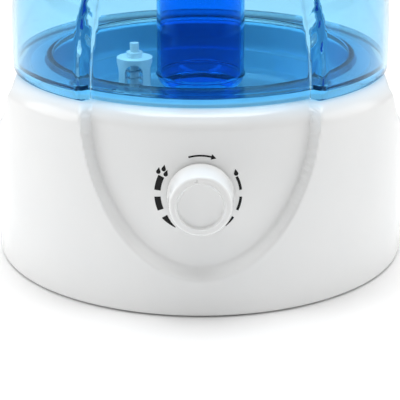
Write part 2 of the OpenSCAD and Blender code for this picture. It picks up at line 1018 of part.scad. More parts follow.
// A drop of water with its tip up
module ink_drop() {
    flank = 30;
    polygon(concat(
        arc(0, 0, drop_r, 180 - flank, 360 + flank, 12),
        [[0, drop_tip]]
    ));
}

// One side of the scale: bands that thicken, and a tail that runs to a point
module scale_side(marks, tail, r, w, tail_out, drops) {
    for (m = marks)
        ink_band(m[0], r, w, m[1], r, w);
    ink_band(tail[0], r, w, tail[1], r + tail_out, tail_tip);
    for (d = drops)
        translate([d[0], d[1]])
            rotate(d[2])
                ink_drop();
}

module dial_marks() {
    scale_side(left_marks, left_tail, left_r, left_w, left_tail_out, left_drops);
    scale_side(right_marks, right_tail, right_r, right_w, right_tail_out, right_drops);
    polygon(concat(
        arc(0, 0, arrow_r - arrow_w / 2, arrow_span[1], arrow_span[0], 8),
        [
            [(arrow_r - arrow_head) * cos(arrow_span[0]), (arrow_r - arrow_head) * sin(arrow_span[0])],
            [arrow_r * cos(arrow_tip), arrow_r * sin(arrow_tip)],
            [(arrow_r + arrow_head) * cos(arrow_span[0]), (arrow_r + arrow_head) * sin(arrow_span[0])]
        ],
        arc(0, 0, arrow_r + arrow_w / 2, arrow_span[0], arrow_span[1], 8)
    ));
}

module dial_print() {
    color("black")
        intersection() {
            translate([0, 0, knob_z])
                from_front(base_r)
                    dial_marks();
            difference() {
                base_form(shield_depth - ink_t, 0, foot_gap);
                base_form(shield_depth, 0, foot_gap);
            }
        }
}

module cord_grommet() {
    back = base_r - wall;
    color("dimgray")
        difference() {
            union() {
                translate([0, 0, cord_hole_z])
                    rotate([-90, 0, 0]) {
                        translate([0, 0, back - 2])
                            cylinder(r = grommet_neck_r, h = wall + 4);
                        translate([0, 0, base_r + 0.3])
                            cylinder(r = cord_hole_r + grommet_lip, h = 1.7);
                        translate([0, 0, back - 3.2])
                            cylinder(r = cord_hole_r + grommet_lip, h = 2.4);
                    }
                // Block that fills the slot, flush with the wall
                intersection() {
                    base_form(2 * grommet_play, 0, foot_gap);
                    translate([
                        grommet_play - cord_hole_r,
                        back + grommet_play,
                        foot_gap + grommet_play
                    ])
                        cube([
                            2 * (cord_hole_r - grommet_play),
                            2 * wall,
                            cord_slot_top - foot_gap - 2 * grommet_play
                        ]);
                }
            }
            translate([0, back - 4, cord_hole_z])
                rotate([-90, 0, 0])
                    cylinder(r = cord_bore_r, h = wall + 9);
        }
}

// ---- Float switch ----

module water_float() {
    color("lightgray")
        translate([float_x, float_y, float_z])
            difference() {
                rotate_extrude()
                    polygon(concat(
                        [[post_r + post_fit, 0], [float_r - 1, 0], [float_r, 1]],
                        arc(float_r - 1.5, float_h - 1.5, 1.5, 0, 90, 4),
                        [[post_r + post_fit, float_h]]
                    ));
                translate([0, 0, 1])
                    tube(7, 5, 3);
            }
}

module float_magnet() {
    color("darkslategray")
        translate([float_x, float_y, float_z + 1])
            tube(7, 5, 3);
}

module float_keeper() {
    color("white")
        translate([float_x, float_y, post_top])
            cylinder(r = keeper_r, h = keeper_t);
}

module reed_switch() {
    color("darkgreen")
        translate([float_x, float_y, basin_under - 5])
            union() {
                translate([-9, -3.5, 0])
                    cube([18, 7, 5]);
                translate([-14, -1.2, 3])
                    cube([28, 2.4, 2]);
            }
}

// ---- Water tank ----

// The turned dome: shift moves it in towards the axis, inset thins it
module tank_form(shift, inset, low) {
    steps = 20;
    reach = tank_r - inset;
    height = tank_h - inset;
    rotate_extrude()
        polygon(concat(
            [[0, low], [reach - shift, low]],
            [for (i = [0:steps - 1])
                let (a = 90 * i / steps)
                [max(reach * pow(cos(a), 2 / dome_power) - shift, 0.5),
                 tank_z + height * pow(sin(a), 2 / dome_power)]],
            [[0, tank_z + height]]
        ));
}

module tank_body(inset, low) {
    union() {
        difference() {
            tank_form(0, inset, low);
            from_front(2 * base_r)
                shield_oval(inset);
        }
        tank_form(shield_depth, inset, low);
    }
}

module tank_shell() {
    color([0.45, 0.75, 0.95, 0.5])
        difference() {
            tank_body(0, tank_z);
            tank_body(tank_wall, tank_z - 1);
            translate([0, 0, dome_z - 3 * tank_wall])
                cylinder(r = chimney_r, h = 6 * tank_wall);
        }
}

module tank_floor() {
    color([0.45, 0.75, 0.95, 0.5])
        difference() {
            union() {
                // Shelf that closes the skirt
                intersection() {
                    tank_body(tank_wall, tank_z - 1);
                    translate([0, 0, shelf_z])
                        cylinder(r = base_r, h = shelf_t);
                }
                // Tub that hangs into the basin
                translate([0, 0, tub_z])
                    cylinder(r = tub_r, h = shelf_z - tub_z + eps);
                // Threaded neck for the filler cap
                translate([cap_x, cap_y, neck_z]) {
                    cylinder(r = neck_r, h = tub_z - neck_z + eps);
                    intersection() {
                        translate([0, 0, 2])
                            tube(neck_r + lug_h, neck_r - 0.5, lug_t);
                        translate([-cap_r, -lug_w / 2, 0])
                            cube([2 * cap_r, lug_w, neck_z]);
                    }
                }
            }
            translate([0, 0, tub_floor_z])
                cylinder(r = tub_r - tank_wall, h = shelf_z + shelf_t);
            translate([0, 0, tub_z - 1])
                cylinder(r = chimney_foot_r, h = tank_wall + 2);
            translate([cap_x, cap_y, neck_z - 1])
                cylinder(r = neck_in_r, h = tub_floor_z);
        }
}

module chimney_profile(inset) {
    foot_r = chimney_foot_r - inset;
    full_r = chimney_r - inset;
    full_z = tub_floor_z + funnel_h;
    polygon(concat(
        [[0, tub_z - chimney_skirt], [foot_r, tub_z - chimney_skirt], [foot_r, tub_floor_z]],
        [for (i = [1:6])
            let (a = 90 * i / 6)
            [foot_r + (full_r - foot_r) * sin(a), full_z - funnel_h * cos(a)]],
        [[full_r, collar_top], [0, collar_top]]
    ));
}

module mist_chimney() {
    bead = 1;
    color([0.2, 0.5, 0.9, 0.6])
        difference() {
            union() {
                rotate_extrude()
                    chimney_profile(0);
                translate([0, 0, tub_floor_z + funnel_h])
                    rotate_extrude()
                        polygon([
                            [0, -bead], [chimney_r, -bead], [chimney_r + bead, 0],
                            [chimney_r, bead], [0, bead]
                        ]);
            }
            translate([0, 0, -eps])
                rotate_extrude()
                    chimney_profile(chimney_wall);
            translate([0, 0, collar_top - 1])
                cylinder(r = chimney_r - chimney_wall, h = 2);
        }
}

module nozzle_collar() {
    color("white")
        difference() {
            translate([0, 0, dome_z - 6])
                cylinder(r = nozzle_r, h = collar_top - dome_z + 6);
            tank_form(0, 0, tank_z);
            translate([0, 0, dome_z - 10])
                cylinder(r = chimney_r, h = 20);
        }
}

// ---- Filler cap and valve, about the cap's own axis ----

module on_cap(z) {
    translate([cap_x, cap_y, z])
        children();
}

module tank_cap() {
    grips = 18;
    grip_end = 1;
    bar = seat_hole_r + 0.5;
    color("white")
        difference() {
            union() {
                on_cap(cap_z)
                    cylinder(r = cap_r, h = cap_top - cap_z);
                on_cap(cap_z + grip_end)
                    around(grips, cap_r, 0)
                        cylinder(r = 0.8, h = cap_top - cap_z - 2 * grip_end, $fn = 16);
            }
            on_cap(cap_z + cap_wall)
                cylinder(r = cap_r - cap_wall, h = cap_h + 1);
            difference() {
                on_cap(cap_z - 1)
                    cylinder(r = seat_hole_r, h = cap_wall + 2);
                // Spider that steadies the stem
                on_cap(cap_z) {
                    cylinder(r = spider_r, h = cap_wall);
                    for (turn = [0:60:120])
                        rotate([0, 0, turn])
                            translate([-bar, -spider_w / 2, 0])
                                cube([2 * bar, spider_w, cap_wall]);
                }
            }
            on_cap(cap_z - 1)
                cylinder(r = stem_r + stem_fit, h = cap_wall + 2);
        }
}

module cap_seal() {
    color("gray")
        on_cap(cap_z + cap_wall)
            tube(neck_r, neck_in_r - 1, seal_t - seal_squeeze);
}

// A slot with a round top, cut sideways through the cage
module window(low, high) {
    for (turn = [0, 90])
        rotate([0, 0, turn]) {
            translate([-window_w / 2, -cage_r - 1, low])
                cube([window_w, 2 * cage_r + 2, high - low - window_w / 2]);
            translate([0, cage_r + 1, high - window_w / 2])
                rotate([90, 0, 0])
                    cylinder(r = window_w / 2, h = 2 * cage_r + 2);
        }
}

module valve_cage() {
    low = cap_z + cap_wall;
    bar = tub_floor_z + 2;
    foot_w = 2;
    color("aliceblue")
        on_cap(0)
            difference() {
                union() {
                    translate([0, 0, low])
                        cylinder(r = cage_r, h = cage_top - low);
                    translate([0, 0, low])
                        cylinder(r = cage_r + foot_w, h = 1.6);
                    translate([0, 0, cage_top - eps])
                        cylinder(r = stem_r + 2, h = 3);
                }
                difference() {
                    translate([0, 0, low - 1])
                        cylinder(r = cage_r - cage_wall, h = cage_top - cage_wall - low + 1);
                }
                window(low + 2, bar);
                window(bar + 3, cage_top - 2.5);
                translate([0, 0, cage_top - cage_wall - 1])
                    cylinder(r = stem_r + stem_fit, h = 8);
            }
}

module valve_plunger() {
    color("white")
        on_cap(0)
            union() {
                translate([0, 0, stem_low])
                    cylinder(r = stem_r, h = cage_top + 8 - stem_low);
                translate([0, 0, disc_z + disc_t])
                    cylinder(r = disc_r - 0.6, h = plunger_t);
            }
}

module valve_seal() {
    color("dimgray")
        on_cap(disc_z)
            tube(disc_r, stem_r, disc_t);
}

// A point on the spring's centre line, u turns from its lower end
function coil(u, z0, z1) =
    [spring_r * cos(360 * u), spring_r * sin(360 * u), z0 + (z1 - z0) * u / spring_turns];

module valve_spring() {
    per_turn = 16;
    sides = 6;
    rings = spring_turns * per_turn;
    z0 = spring_low + spring_wire;
    z1 = spring_high - spring_wire;
    points = [for (i = [0:rings])
        let (u = i / per_turn, c = coil(u, z0, z1))
        for (k = [0:sides - 1])
            let (a = 360 * k / sides, out = spring_wire * cos(a))
            [c[0] + out * cos(360 * u), c[1] + out * sin(360 * u), c[2] + spring_wire * sin(a)]];
    walls = [for (i = [0:rings - 1])
        for (k = [0:sides - 1])
            let (n = (k + 1) % sides, a = i * sides, b = a + sides)
            [a + k, b + k, b + n, a + n]];
    first = [[for (k = [0:sides - 1]) k]];
    last = [[for (k = [sides - 1:-1:0]) rings * sides + k]];
    color("silver")
        on_cap(0)
            polyhedron(points, concat(walls, first, last), convexity = 10);
}

// ---- Mist nozzle ----

module nozzle_bell(inset) {
    low = collar_top + part_gap;
    top_r = nozzle_r * 0.45;
    round_r = nozzle_h - 5;
    polygon(concat(
        [[0, low], [nozzle_r - inset, low]],
        arc(nozzle_r - round_r, low + 5, round_r - inset, 0, 90, 10),
        [[0, low + nozzle_h - inset]]
    ));
}

module on_spout() {
    translate([0, 0, collar_top + part_gap + nozzle_h * 0.42])
        rotate([90 - spout_rise, 0, 0])
            children();
}

module mist_nozzle() {
    low = collar_top + part_gap;
    spigot_r = chimney_r - chimney_wall - nozzle_fit;
    spigot_l = 9;
    color("white")
        difference() {
            union() {
                rotate_extrude()
                    nozzle_bell(0);
                on_spout()
                    cylinder(r = spout_r, h = spout_l);
                translate([0, 0, low - spigot_l])
                    cylinder(r = spigot_r, h = spigot_l + 1);
            }
            // Hollow bell, above a floor that carries the spigot
            intersection() {
                rotate_extrude()
                    nozzle_bell(nozzle_wall);
                translate([0, 0, low + nozzle_wall])
                    cylinder(r = nozzle_r, h = nozzle_h);
            }
            on_spout()
                cylinder(r = spout_r - nozzle_wall, h = spout_l + 1);
            translate([0, 0, low - spigot_l - 1])
                cylinder(r = spigot_r - nozzle_wall, h = spigot_l + nozzle_wall + 2);
        }
}

base_housing();
bottom_cover();
rubber_feet();
cover_screws();
water_basin();
basin_screws();
transducer_disc();
transducer_seal();
transducer_plate();
transducer_screws();
driver_board();
driver_heatsink();
driver_inductor();
power_board();
power_transformer();
power_capacitor();
board_screws();
fan_frame();
fan_stator();
fan_impeller();
fan_screws();
air_duct();
potentiometer();
potentiometer_nut();
control_shaft();
control_knob();
dial_print();
cord_grommet();
water_float();
float_magnet();
float_keeper();
reed_switch();
tank_shell();
tank_floor();
mist_chimney();
nozzle_collar();
tank_cap();
cap_seal();
valve_cage();
valve_plunger();
valve_seal();
valve_spring();
mist_nozzle();
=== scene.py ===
# %% [markdown]
# # Cool mist humidifier
# The real object is an ultrasonic humidifier: a round white base with a basin, a fan and a mist
# maker in it, and a clear blue tank that lifts off. This lesson rebuilds its visible skin round a
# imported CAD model. The CAD nodes stay where they are, and the new pieces ride on their bodies.

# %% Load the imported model
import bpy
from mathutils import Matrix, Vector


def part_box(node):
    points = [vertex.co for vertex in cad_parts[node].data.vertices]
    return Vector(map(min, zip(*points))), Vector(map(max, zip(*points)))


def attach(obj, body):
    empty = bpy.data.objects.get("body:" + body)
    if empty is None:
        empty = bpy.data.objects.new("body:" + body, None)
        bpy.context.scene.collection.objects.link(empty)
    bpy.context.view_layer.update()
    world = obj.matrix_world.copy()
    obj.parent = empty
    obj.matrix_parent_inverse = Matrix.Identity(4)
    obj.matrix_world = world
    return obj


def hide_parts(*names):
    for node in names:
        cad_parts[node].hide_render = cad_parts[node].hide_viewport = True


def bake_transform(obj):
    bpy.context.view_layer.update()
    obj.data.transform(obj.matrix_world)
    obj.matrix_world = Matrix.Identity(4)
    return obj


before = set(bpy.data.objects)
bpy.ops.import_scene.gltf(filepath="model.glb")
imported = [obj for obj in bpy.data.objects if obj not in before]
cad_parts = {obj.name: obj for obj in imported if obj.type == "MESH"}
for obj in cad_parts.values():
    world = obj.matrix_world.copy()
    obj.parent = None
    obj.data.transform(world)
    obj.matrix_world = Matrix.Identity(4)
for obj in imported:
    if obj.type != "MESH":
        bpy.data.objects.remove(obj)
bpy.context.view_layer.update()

import math

import bpy
import numpy as np
from mathutils import Vector

MM = 0.001

# %% [markdown]
# ## Sizes
# A size that the CAD model has is read from the box of its node, so a piece lands where the CAD
# says. The few that a box can't give are the shape's own: the lean of the wall, the oval of the
# front shield, the finger scoops. The skirt of the base reaches a little below its cover, which
# hides the feet and leaves a thin dark line over the table. All are in millimetres.

# %% Sizes of the body
def node_box(node):
    """A CAD node's lowest and highest corners, in mm."""
    low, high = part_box(node)
    return low / MM, high / MM


base_low, base_high = node_box("base_housing")
shell_low, shell_high = node_box("tank_shell")
knob_low, knob_high = node_box("control_knob")
BASE_R = base_high.x
SKIRT = 0.8
FOOT_Z = base_low.z - SKIRT
DECK_Z = base_high.z
SHOULDER_R = 10
EDGE_R = 1.4
RIM_R = shell_high.x
WALL = 2.5
TANK_Z = shell_low.z
TANK_H = 162
DOME_POWER = 2.6
KNOB_Z = (knob_low.z + knob_high.z) / 2
print(f"base radius {BASE_R:.1f}, deck {DECK_Z:.1f}, rim {RIM_R:.1f}, knob axis {KNOB_Z:.1f} mm")

# %% [markdown]
# ## Camera
# The camera stands 0.8 m from the axis, about 20 cm above the tank's seam, and looks down on the
# base a little. A long lens keeps the rim of the base a shallow curve. It is made first, so that
# each piece can be looked at from the same place.

# %% Camera
CAMERA_PLACE = (0, -0.8, 0.31567)
CAMERA_TILT = 69.89
bpy.ops.object.camera_add(location=CAMERA_PLACE, rotation=(math.radians(CAMERA_TILT), 0, 0))
camera = bpy.context.object
camera.name = "camera"
camera.data.sensor_width = 36
camera.data.lens = 126.74
camera.data.shift_x = -0.0015
bpy.context.scene.camera = camera
print("camera at", [round(v, 3) for v in camera.location])

# %% [markdown]
# ## Colours and nodes
# Colours are chosen as the sRGB hex values that a paint card would give, and one function turns
# them to the linear values that light adds up in. One small function adds any node with its
# settings and its links, so each finish below reads as a list of its layers.

# %% Colour and node helpers
def hex_linear(code):
    """An sRGB hex colour as linear RGBA."""
    shares = [int(code[i:i + 2], 16) / 255 for i in (1, 3, 5)]
    return [s / 12.92 if s <= 0.04045 else ((s + 0.055) / 1.055) ** 2.4 for s in shares] + [1]


def add_node(tree, kind, settings=None, inputs=None):
    """Adds a node. A value in inputs is a number or colour to set, or a socket to link from."""
    made = tree.nodes.new(kind)
    for name, value in (settings or {}).items():
        setattr(made, name, value)
    for key, value in (inputs or {}).items():
        if isinstance(value, bpy.types.NodeSocket):
            tree.links.new(value, made.inputs[key])
        else:
            made.inputs[key].default_value = value
    return made


print("half grey, #808080, is", round(hex_linear("#808080")[0], 3), "in linear light")

# %% [markdown]
# ## A surface with a grain
# Every part here is moulded, pressed, drawn or plated, and each such surface has the same three
# layers: a colour that drifts a little over centimetres, a roughness that varies with handling and
# mould wear, and a fine relief. One function lays them, with each size in real millimetres.

# %% Grained surface
NOISE = "ShaderNodeTexNoise"
RANGE = "ShaderNodeMapRange"


def grained(name, colour, shade, roughness, grain, relief, drift=30, stretch=None, **sockets):
    """A material whose colour drifts from colour to shade over drift mm.

    roughness is (lowest, highest), grain is the width of the relief in mm and relief its height
    in mm. stretch draws the grain out along an axis, as brushing does. Other words set sockets.
    """
    material = bpy.data.materials.new(name)
    material.use_nodes = True
    tree = material.node_tree
    surface = tree.nodes["Principled BSDF"]
    place = add_node(tree, "ShaderNodeTexCoord").outputs["Object"]
    laid = place
    if stretch:
        laid = add_node(
            tree, "ShaderNodeMapping", inputs={"Vector": place, "Scale": stretch}
        ).outputs[0]
    wide = add_node(
        tree, NOISE, inputs={"Vector": place, "Scale": 1 / (drift * MM), "Detail": 3}
    )
    fine = add_node(
        tree, NOISE, inputs={"Vector": laid, "Scale": 1 / (grain * MM), "Detail": 4}
    )
    tint = add_node(
        tree,
        "ShaderNodeMix",
        {"data_type": "RGBA"},
        {0: wide.outputs[0], 6: hex_linear(colour), 7: hex_linear(shade)},
    )
    dull = add_node(
        tree,
        RANGE,
        inputs={
            "Value": fine.outputs[0],
            "From Min": 0.3,
            "From Max": 0.7,
            "To Min": roughness[0],
            "To Max": roughness[1],
        },
    )
    bump = add_node(
        tree, "ShaderNodeBump", inputs={"Height": fine.outputs[0], "Distance": relief * MM}
    )
    tree.links.new(tint.outputs[2], surface.inputs["Base Color"])
    tree.links.new(dull.outputs[0], surface.inputs["Roughness"])
    tree.links.new(bump.outputs[0], surface.inputs["Normal"])
    for key, value in sockets.items():
        surface.inputs[key.replace("_", " ")].default_value = value
    return material


print("layers of a finish: drift of colour, roughness and relief")

# %% [markdown]
# ## Plastics
# The base, knob, collar and nozzle are white ABS from a polished mould: a hard gloss with the
# faint waviness of cooling. The basin and the filler cap are polypropylene, which is waxier and
# lets a little light in. The tank is clear styrene, tinted blue in the mass: a wall takes out half
# of the red and a fifth of the green, and the chimney in the middle is a deeper tint of the same.

# %% Plastic finishes
white_abs = grained(
    "moulded_abs_white", "#EEEEED", "#E9EAEA", (0.14, 0.2), 4, 0.006, IOR=1.52
)
grey_abs = grained("moulded_abs_grey", "#C9CBCC", "#BFC2C4", (0.35, 0.5), 0.9, 0.02, IOR=1.5)
white_pp = grained(
    "moulded_polypropylene_white", "#F2F3F1", "#E8EAE9", (0.3, 0.42), 1.2, 0.015,
    Subsurface_Weight=0.08, Subsurface_Radius=(0.004, 0.004, 0.004), IOR=1.49,
)


def clear_plastic(name, tint, shade, let_through):
    """Tinted clear plastic. Lamps shine straight through it, so what is inside gets its light.

    let_through is the share of red, green and blue of that light that one face passes on.
    """
    material = grained(
        name, tint, shade, (0.015, 0.04), 6, 0.004,
        Transmission_Weight=1, IOR=1.45, Specular_Tint=(0.05, 0.35, 1, 1),
    )
    tree = material.node_tree
    straight = add_node(tree, "ShaderNodeBsdfTransparent", inputs={"Color": let_through})
    mix = add_node(
        tree,
        "ShaderNodeMixShader",
        inputs={
            0: add_node(tree, "ShaderNodeLightPath").outputs["Is Shadow Ray"],
            1: tree.nodes["Principled BSDF"].outputs[0],
            2: straight.outputs[0],
        },
    )
    tree.links.new(mix.outputs[0], tree.nodes["Material Output"].inputs["Surface"])
    return material


blue_clear = clear_plastic("clear_styrene_blue", "#C0E8FB", "#BCE6FA", (0.55, 0.74, 0.84, 1))
blue_deep = clear_plastic("clear_styrene_deep_blue", "#2FB0FF", "#2AACFE", (0.15, 0.6, 0.9, 1))
black_plastic = grained("moulded_nylon_black", "#1B1C1E", "#232426", (0.38, 0.55), 0.7, 0.02)
print("plastics", [m.name for m in (white_abs, grey_abs, white_pp, blue_clear, blue_deep)])

# %% [markdown]
# ## Rubber, silicone, ink and foam
# Feet and grommet are matt black rubber with the bloom that rubber gets. Seals are soft silicone.
# The dial is pad printed: a thin, flat black film, duller than the plastic under it.
# The float is closed-cell foam with a skin of pores.

# %% Soft and printed finishes
rubber = grained("moulded_rubber_black", "#26272A", "#303236", (0.6, 0.8), 0.6, 0.03)
silicone = grained(
    "moulded_silicone_grey", "#C8CED2", "#BFC6CB", (0.4, 0.5), 1.0, 0.01,
    Subsurface_Weight=0.15, Subsurface_Radius=(0.003, 0.003, 0.003),
)
black_ink = grained(
    "pad_printed_ink_black", "#0A0A0B", "#0D0D0E", (0.4, 0.5), 0.5, 0.004, Specular_IOR_Level=0.25
)
grey_foam = grained("closed_cell_foam_grey", "#B9BBBB", "#A9ACAD", (0.75, 0.9), 0.8, 0.12)
print("soft and printed", [m.name for m in (rubber, silicone, black_ink, grey_foam)])

# %% [markdown]
# ## Metals and electrical parts
# Nobody sees these while the base is closed, but the model is a set of parts, so each has its own
# finish: zinc-plated screws, a brass-plated control, an extruded aluminium plate, enamelled copper
# wire, a green lacquered board and the sleeve of a capacitor. Plating has fine clouding, an
# extrusion has lines along its length, and a wound wire has a groove at each turn.

# %% Metal and electrical finishes
steel = grained("zinc_plated_steel", "#C3C7CC", "#AEB4BA", (0.22, 0.36), 0.5, 0.006, Metallic=1)
brass_can = grained("brass_plated_steel", "#C8B273", "#B39C5C", (0.25, 0.4), 0.6, 0.006, Metallic=1)
aluminium = grained(
    "extruded_aluminium", "#C9CCCF", "#BBC0C4", (0.28, 0.45), 0.5, 0.01,
    stretch=(1, 0.05, 1), Metallic=1,
)
piezo = grained("fired_silver_on_ceramic", "#D9D4C4", "#CBC5B2", (0.35, 0.5), 0.4, 0.01, Metallic=1)
copper = grained(
    "enamelled_copper_wire", "#B5642F", "#9E5223", (0.25, 0.4), 0.5, 0.06,
    stretch=(0.1, 0.1, 1), Metallic=1,
)
iron_core = grained(
    "laminated_iron", "#54575B", "#43464A", (0.4, 0.6), 0.5, 0.05,
    stretch=(0.1, 0.1, 1), Metallic=1,
)
circuit_board = grained(
    "lacquered_fibreglass_green", "#1F5A36", "#2A6B41", (0.25, 0.4), 0.4, 0.008, drift=8
)
capacitor_sleeve = grained("shrunk_sleeve_blue", "#2A4E78", "#234469", (0.3, 0.4), 0.8, 0.01)
ferrite = grained("sintered_ferrite", "#2D3033", "#3A3E42", (0.6, 0.75), 0.3, 0.02)
print("metals", [m.name for m in (steel, brass_can, aluminium, piezo, copper, iron_core)])

# %% [markdown]
# ## Dressing the CAD nodes
# A CAD node whose shape is right stays and only gets a finish. The finish is put in the slot of
# the object rather than of the mesh, because the mesh is the frame's and is left alone.

# %% Finishes of the CAD nodes
NODE_FINISH = {
    grey_abs: ["bottom_cover"],
    white_abs: ["float_keeper"],
    white_pp: ["air_duct", "tank_cap", "valve_cage", "valve_plunger"],
    grey_foam: ["water_float"],
    silicone: ["transducer_seal", "cap_seal", "valve_seal"],
    steel: [
        "cover_screws", "basin_screws", "transducer_screws", "board_screws", "fan_screws",
        "potentiometer_nut", "control_shaft",
    ],
    brass_can: ["potentiometer"],
    piezo: ["transducer_disc"],
    aluminium: ["transducer_plate", "driver_heatsink"],
    capacitor_sleeve: ["power_capacitor"],
    circuit_board: ["driver_board", "power_board", "reed_switch"],
    copper: ["driver_inductor", "fan_stator"],
    iron_core: ["power_transformer"],
    black_plastic: ["fan_frame", "fan_impeller"],
    black_ink: ["dial_print"],
    ferrite: ["float_magnet"],
}


def paint(piece, material):
    """Gives the whole piece one finish, in the object's own slot."""
    if not piece.material_slots:
        piece.data.materials.append(material)
    for place in piece.material_slots:
        place.link = "OBJECT"
        place.material = material


for material, nodes in NODE_FINISH.items():
    for node in nodes:
        paint(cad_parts[node], material)
print("CAD nodes dressed", sum(len(nodes) for nodes in NODE_FINISH.values()))

# %% [markdown]
# ## Turning a piece
# Most of this object is round, and its moulds were turned on a lathe. The same is done here: one
# vertex is extruded point by point into half a section, then spun round the Z axis. Corners get
# their moulded radius in the section itself, which keeps every ring of the spun mesh even.

# %% Selecting and turning
SAME_PLACE = 0.001


def work_on(piece):
    """Selects one piece alone and makes it active."""
    bpy.ops.object.select_all(action="DESELECT")
    piece.select_set(True)
    bpy.context.view_layer.objects.active = piece


def arc(x, z, radius, start, end, steps):
    """Points of an arc in the section, from one angle to another."""
    angles = [math.radians(start + (end - start) * i / steps) for i in range(steps + 1)]
    return [(x + radius * math.cos(a), z + radius * math.sin(a)) for a in angles]


def rounded(corners, steps=5):
    """A section from its corners: (radius, height), with a third number to round that corner."""
    made = []
    for i, corner in enumerate(corners):
        here = Vector(corner[:2])
        if len(corner) < 3:
            made.append(tuple(here))
            continue
        back = (Vector(corners[i - 1][:2]) - here).normalized()
        ahead = (Vector(corners[(i + 1) % len(corners)][:2]) - here).normalized()
        half = back.angle(ahead) / 2
        centre = here + (back + ahead).normalized() * corner[2] / math.sin(half)
        first = here + back * corner[2] / math.tan(half) - centre
        last = here + ahead * corner[2] / math.tan(half) - centre
        turn = first.angle(last)
        for k in range(steps + 1):
            share = k / steps
            out = first * math.sin((1 - share) * turn) + last * math.sin(share * turn)
            made.append(tuple(centre + out / math.sin(turn)))
    return made


def turned(name, section, steps=96, sharp=40):
    """Spins a closed section, in mm, round the Z axis. Its ends may both lie on the axis."""
    bpy.ops.object.select_all(action="DESELECT")
    bpy.ops.mesh.primitive_plane_add(size=MM)
    piece = bpy.context.object
    piece.name = name
    bpy.ops.object.mode_set(mode="EDIT")
    bpy.ops.mesh.merge(type="CENTER")
    closing = [] if section[0][0] == 0 and section[-1][0] == 0 else [section[0]]
    bpy.ops.transform.translate(value=(section[0][0] * MM, 0, section[0][1] * MM))
    here = section[0]
    for point in list(section[1:]) + closing:
        move = ((point[0] - here[0]) * MM, 0, (point[1] - here[1]) * MM)
        bpy.ops.mesh.extrude_vertices_move(TRANSFORM_OT_translate={"value": move})
        here = point
    bpy.ops.mesh.select_all(action="SELECT")
    bpy.ops.mesh.remove_doubles(threshold=SAME_PLACE * MM)
    bpy.ops.mesh.spin(steps=steps, angle=2 * math.pi, center=(0, 0, 0), axis=(0, 0, 1))
    bpy.ops.mesh.select_all(action="SELECT")
    bpy.ops.mesh.remove_doubles(threshold=SAME_PLACE * MM)
    bpy.ops.mesh.normals_make_consistent(inside=False)
    bpy.ops.object.mode_set(mode="OBJECT")
    bpy.ops.object.shade_smooth_by_angle(angle=math.radians(sharp))
    return piece


def settle(piece, material, body, slot, *nodes):
    """Finishes a piece: its finish, the body it rides on and what it stands for. slot is not used.
    """
    paint(piece, material)
    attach(piece, body)
    if nodes:
        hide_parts(*nodes)
    low, high = [Vector(f(c[i] for c in piece.bound_box) for i in range(3)) for f in (min, max)]
    size = [round(v / MM, 1) for v in high - low]
    print(f"{piece.name}: {len(piece.data.polygons)} faces, {size} mm")


print("points of a 1 mm rounded corner", len(rounded([(0, 0), (5, 0, 1), (5, 5), (0, 5)])) - 3)

# %% [markdown]
# ## The sunk shield
# The front of the base and the tank share one oval that is sunk 6.5 mm, with a soft step about
# 5.5 mm wide round it. A boolean would leave a sharp edge there. Instead the points of the turned
# form are moved in towards the axis, by a share that runs smoothly from 0 outside the oval to 1
# inside it. The oval is as seen from the front, so it is measured in X and Z.

# %% Shield
SHIELD_A = 60.3
SHIELD_LOW = 86.3
SHIELD_HIGH = 128
SHIELD_STEP = 5.6
SHIELD_DEPTH = 6.5


def smooth_share(t):
    """0 below 0, 1 above 1, and an even curve between."""
    t = np.clip(t, 0, 1)
    return t * t * (3 - 2 * t)


def past_oval(across, up, half_across, half_up):
    """How far a point lies outside an oval round the middle, in mm."""
    reach = np.maximum(np.hypot(across / half_across, up / half_up), 1e-6)
    slope = np.hypot(across / half_across**2, up / half_up**2) / reach
    return (reach - 1) / np.maximum(slope, 1e-6)


def sink_shield(points, inset):
    """Moves the points of the front in, inside the oval. inset grows the oval for an inner wall."""
    x, y, z = points.T
    up = z - DECK_Z
    half_up = np.where(up < 0, SHIELD_LOW, SHIELD_HIGH)
    radius = np.maximum(np.hypot(x, y), 1e-6)
    share = np.zeros(len(points))
    for _ in range(6):
        across = x * (radius - SHIELD_DEPTH * share) / radius
        past = past_oval(across, up, SHIELD_A, half_up) - inset
        share = smooth_share(0.5 - past / SHIELD_STEP) * (y < 0)
    kept = (radius - SHIELD_DEPTH * share) / radius
    return np.stack([x * kept, y * kept, z], axis=1)


print(f"shield {2 * SHIELD_A:.1f} mm wide, {SHIELD_DEPTH} mm deep")

# %% [markdown]
# ## The finger scoops
# At each side a scoop lets the fingers under the rim of the tank. Its floor is a flat plane that
# leans in towards the top, and its lower end is half an oval. The plane and the wall are joined by
# a smooth minimum, which leaves a small radius where a mould would have one.

# %% Scoops
SCOOP_A = 51
SCOOP_H = 35
SCOOP_LOW_X = 111.5
SCOOP_HIGH_X = 103.5
SCOOP_LEAN = (SCOOP_LOW_X - SCOOP_HIGH_X) / SCOOP_H
SCOOP_STEP = 3.5
SCOOP_EDGE = 1.5


def sink_scoops(points, inset):
    """Moves the points at both sides in to the floor of the scoops."""
    x, y, z = points.T
    out = np.abs(x)
    floor = SCOOP_LOW_X - SCOOP_LEAN * (z - (DECK_Z - SCOOP_H)) - inset
    near = np.maximum(SCOOP_EDGE - np.abs(out - floor), 0)
    lower = np.minimum(out, floor) - near**2 / (4 * SCOOP_EDGE)
    past = past_oval(y, z - DECK_Z, SCOOP_A, SCOOP_H) - inset
    share = smooth_share(0.5 - past / SCOOP_STEP) * (out > floor - SCOOP_EDGE)
    return np.stack([x + np.sign(x) * share * (lower - out), y, z], axis=1)


def read_points(piece):
    """The places of a piece's vertices, in mm."""
    flat = np.empty(len(piece.data.vertices) * 3)
    piece.data.vertices.foreach_get("co", flat)
    return flat.reshape(-1, 3) / MM


def write_points(piece, points):
    """Puts a piece's vertices at these places, in mm."""
    piece.data.vertices.foreach_set("co", (points * MM).ravel())
    piece.data.update()


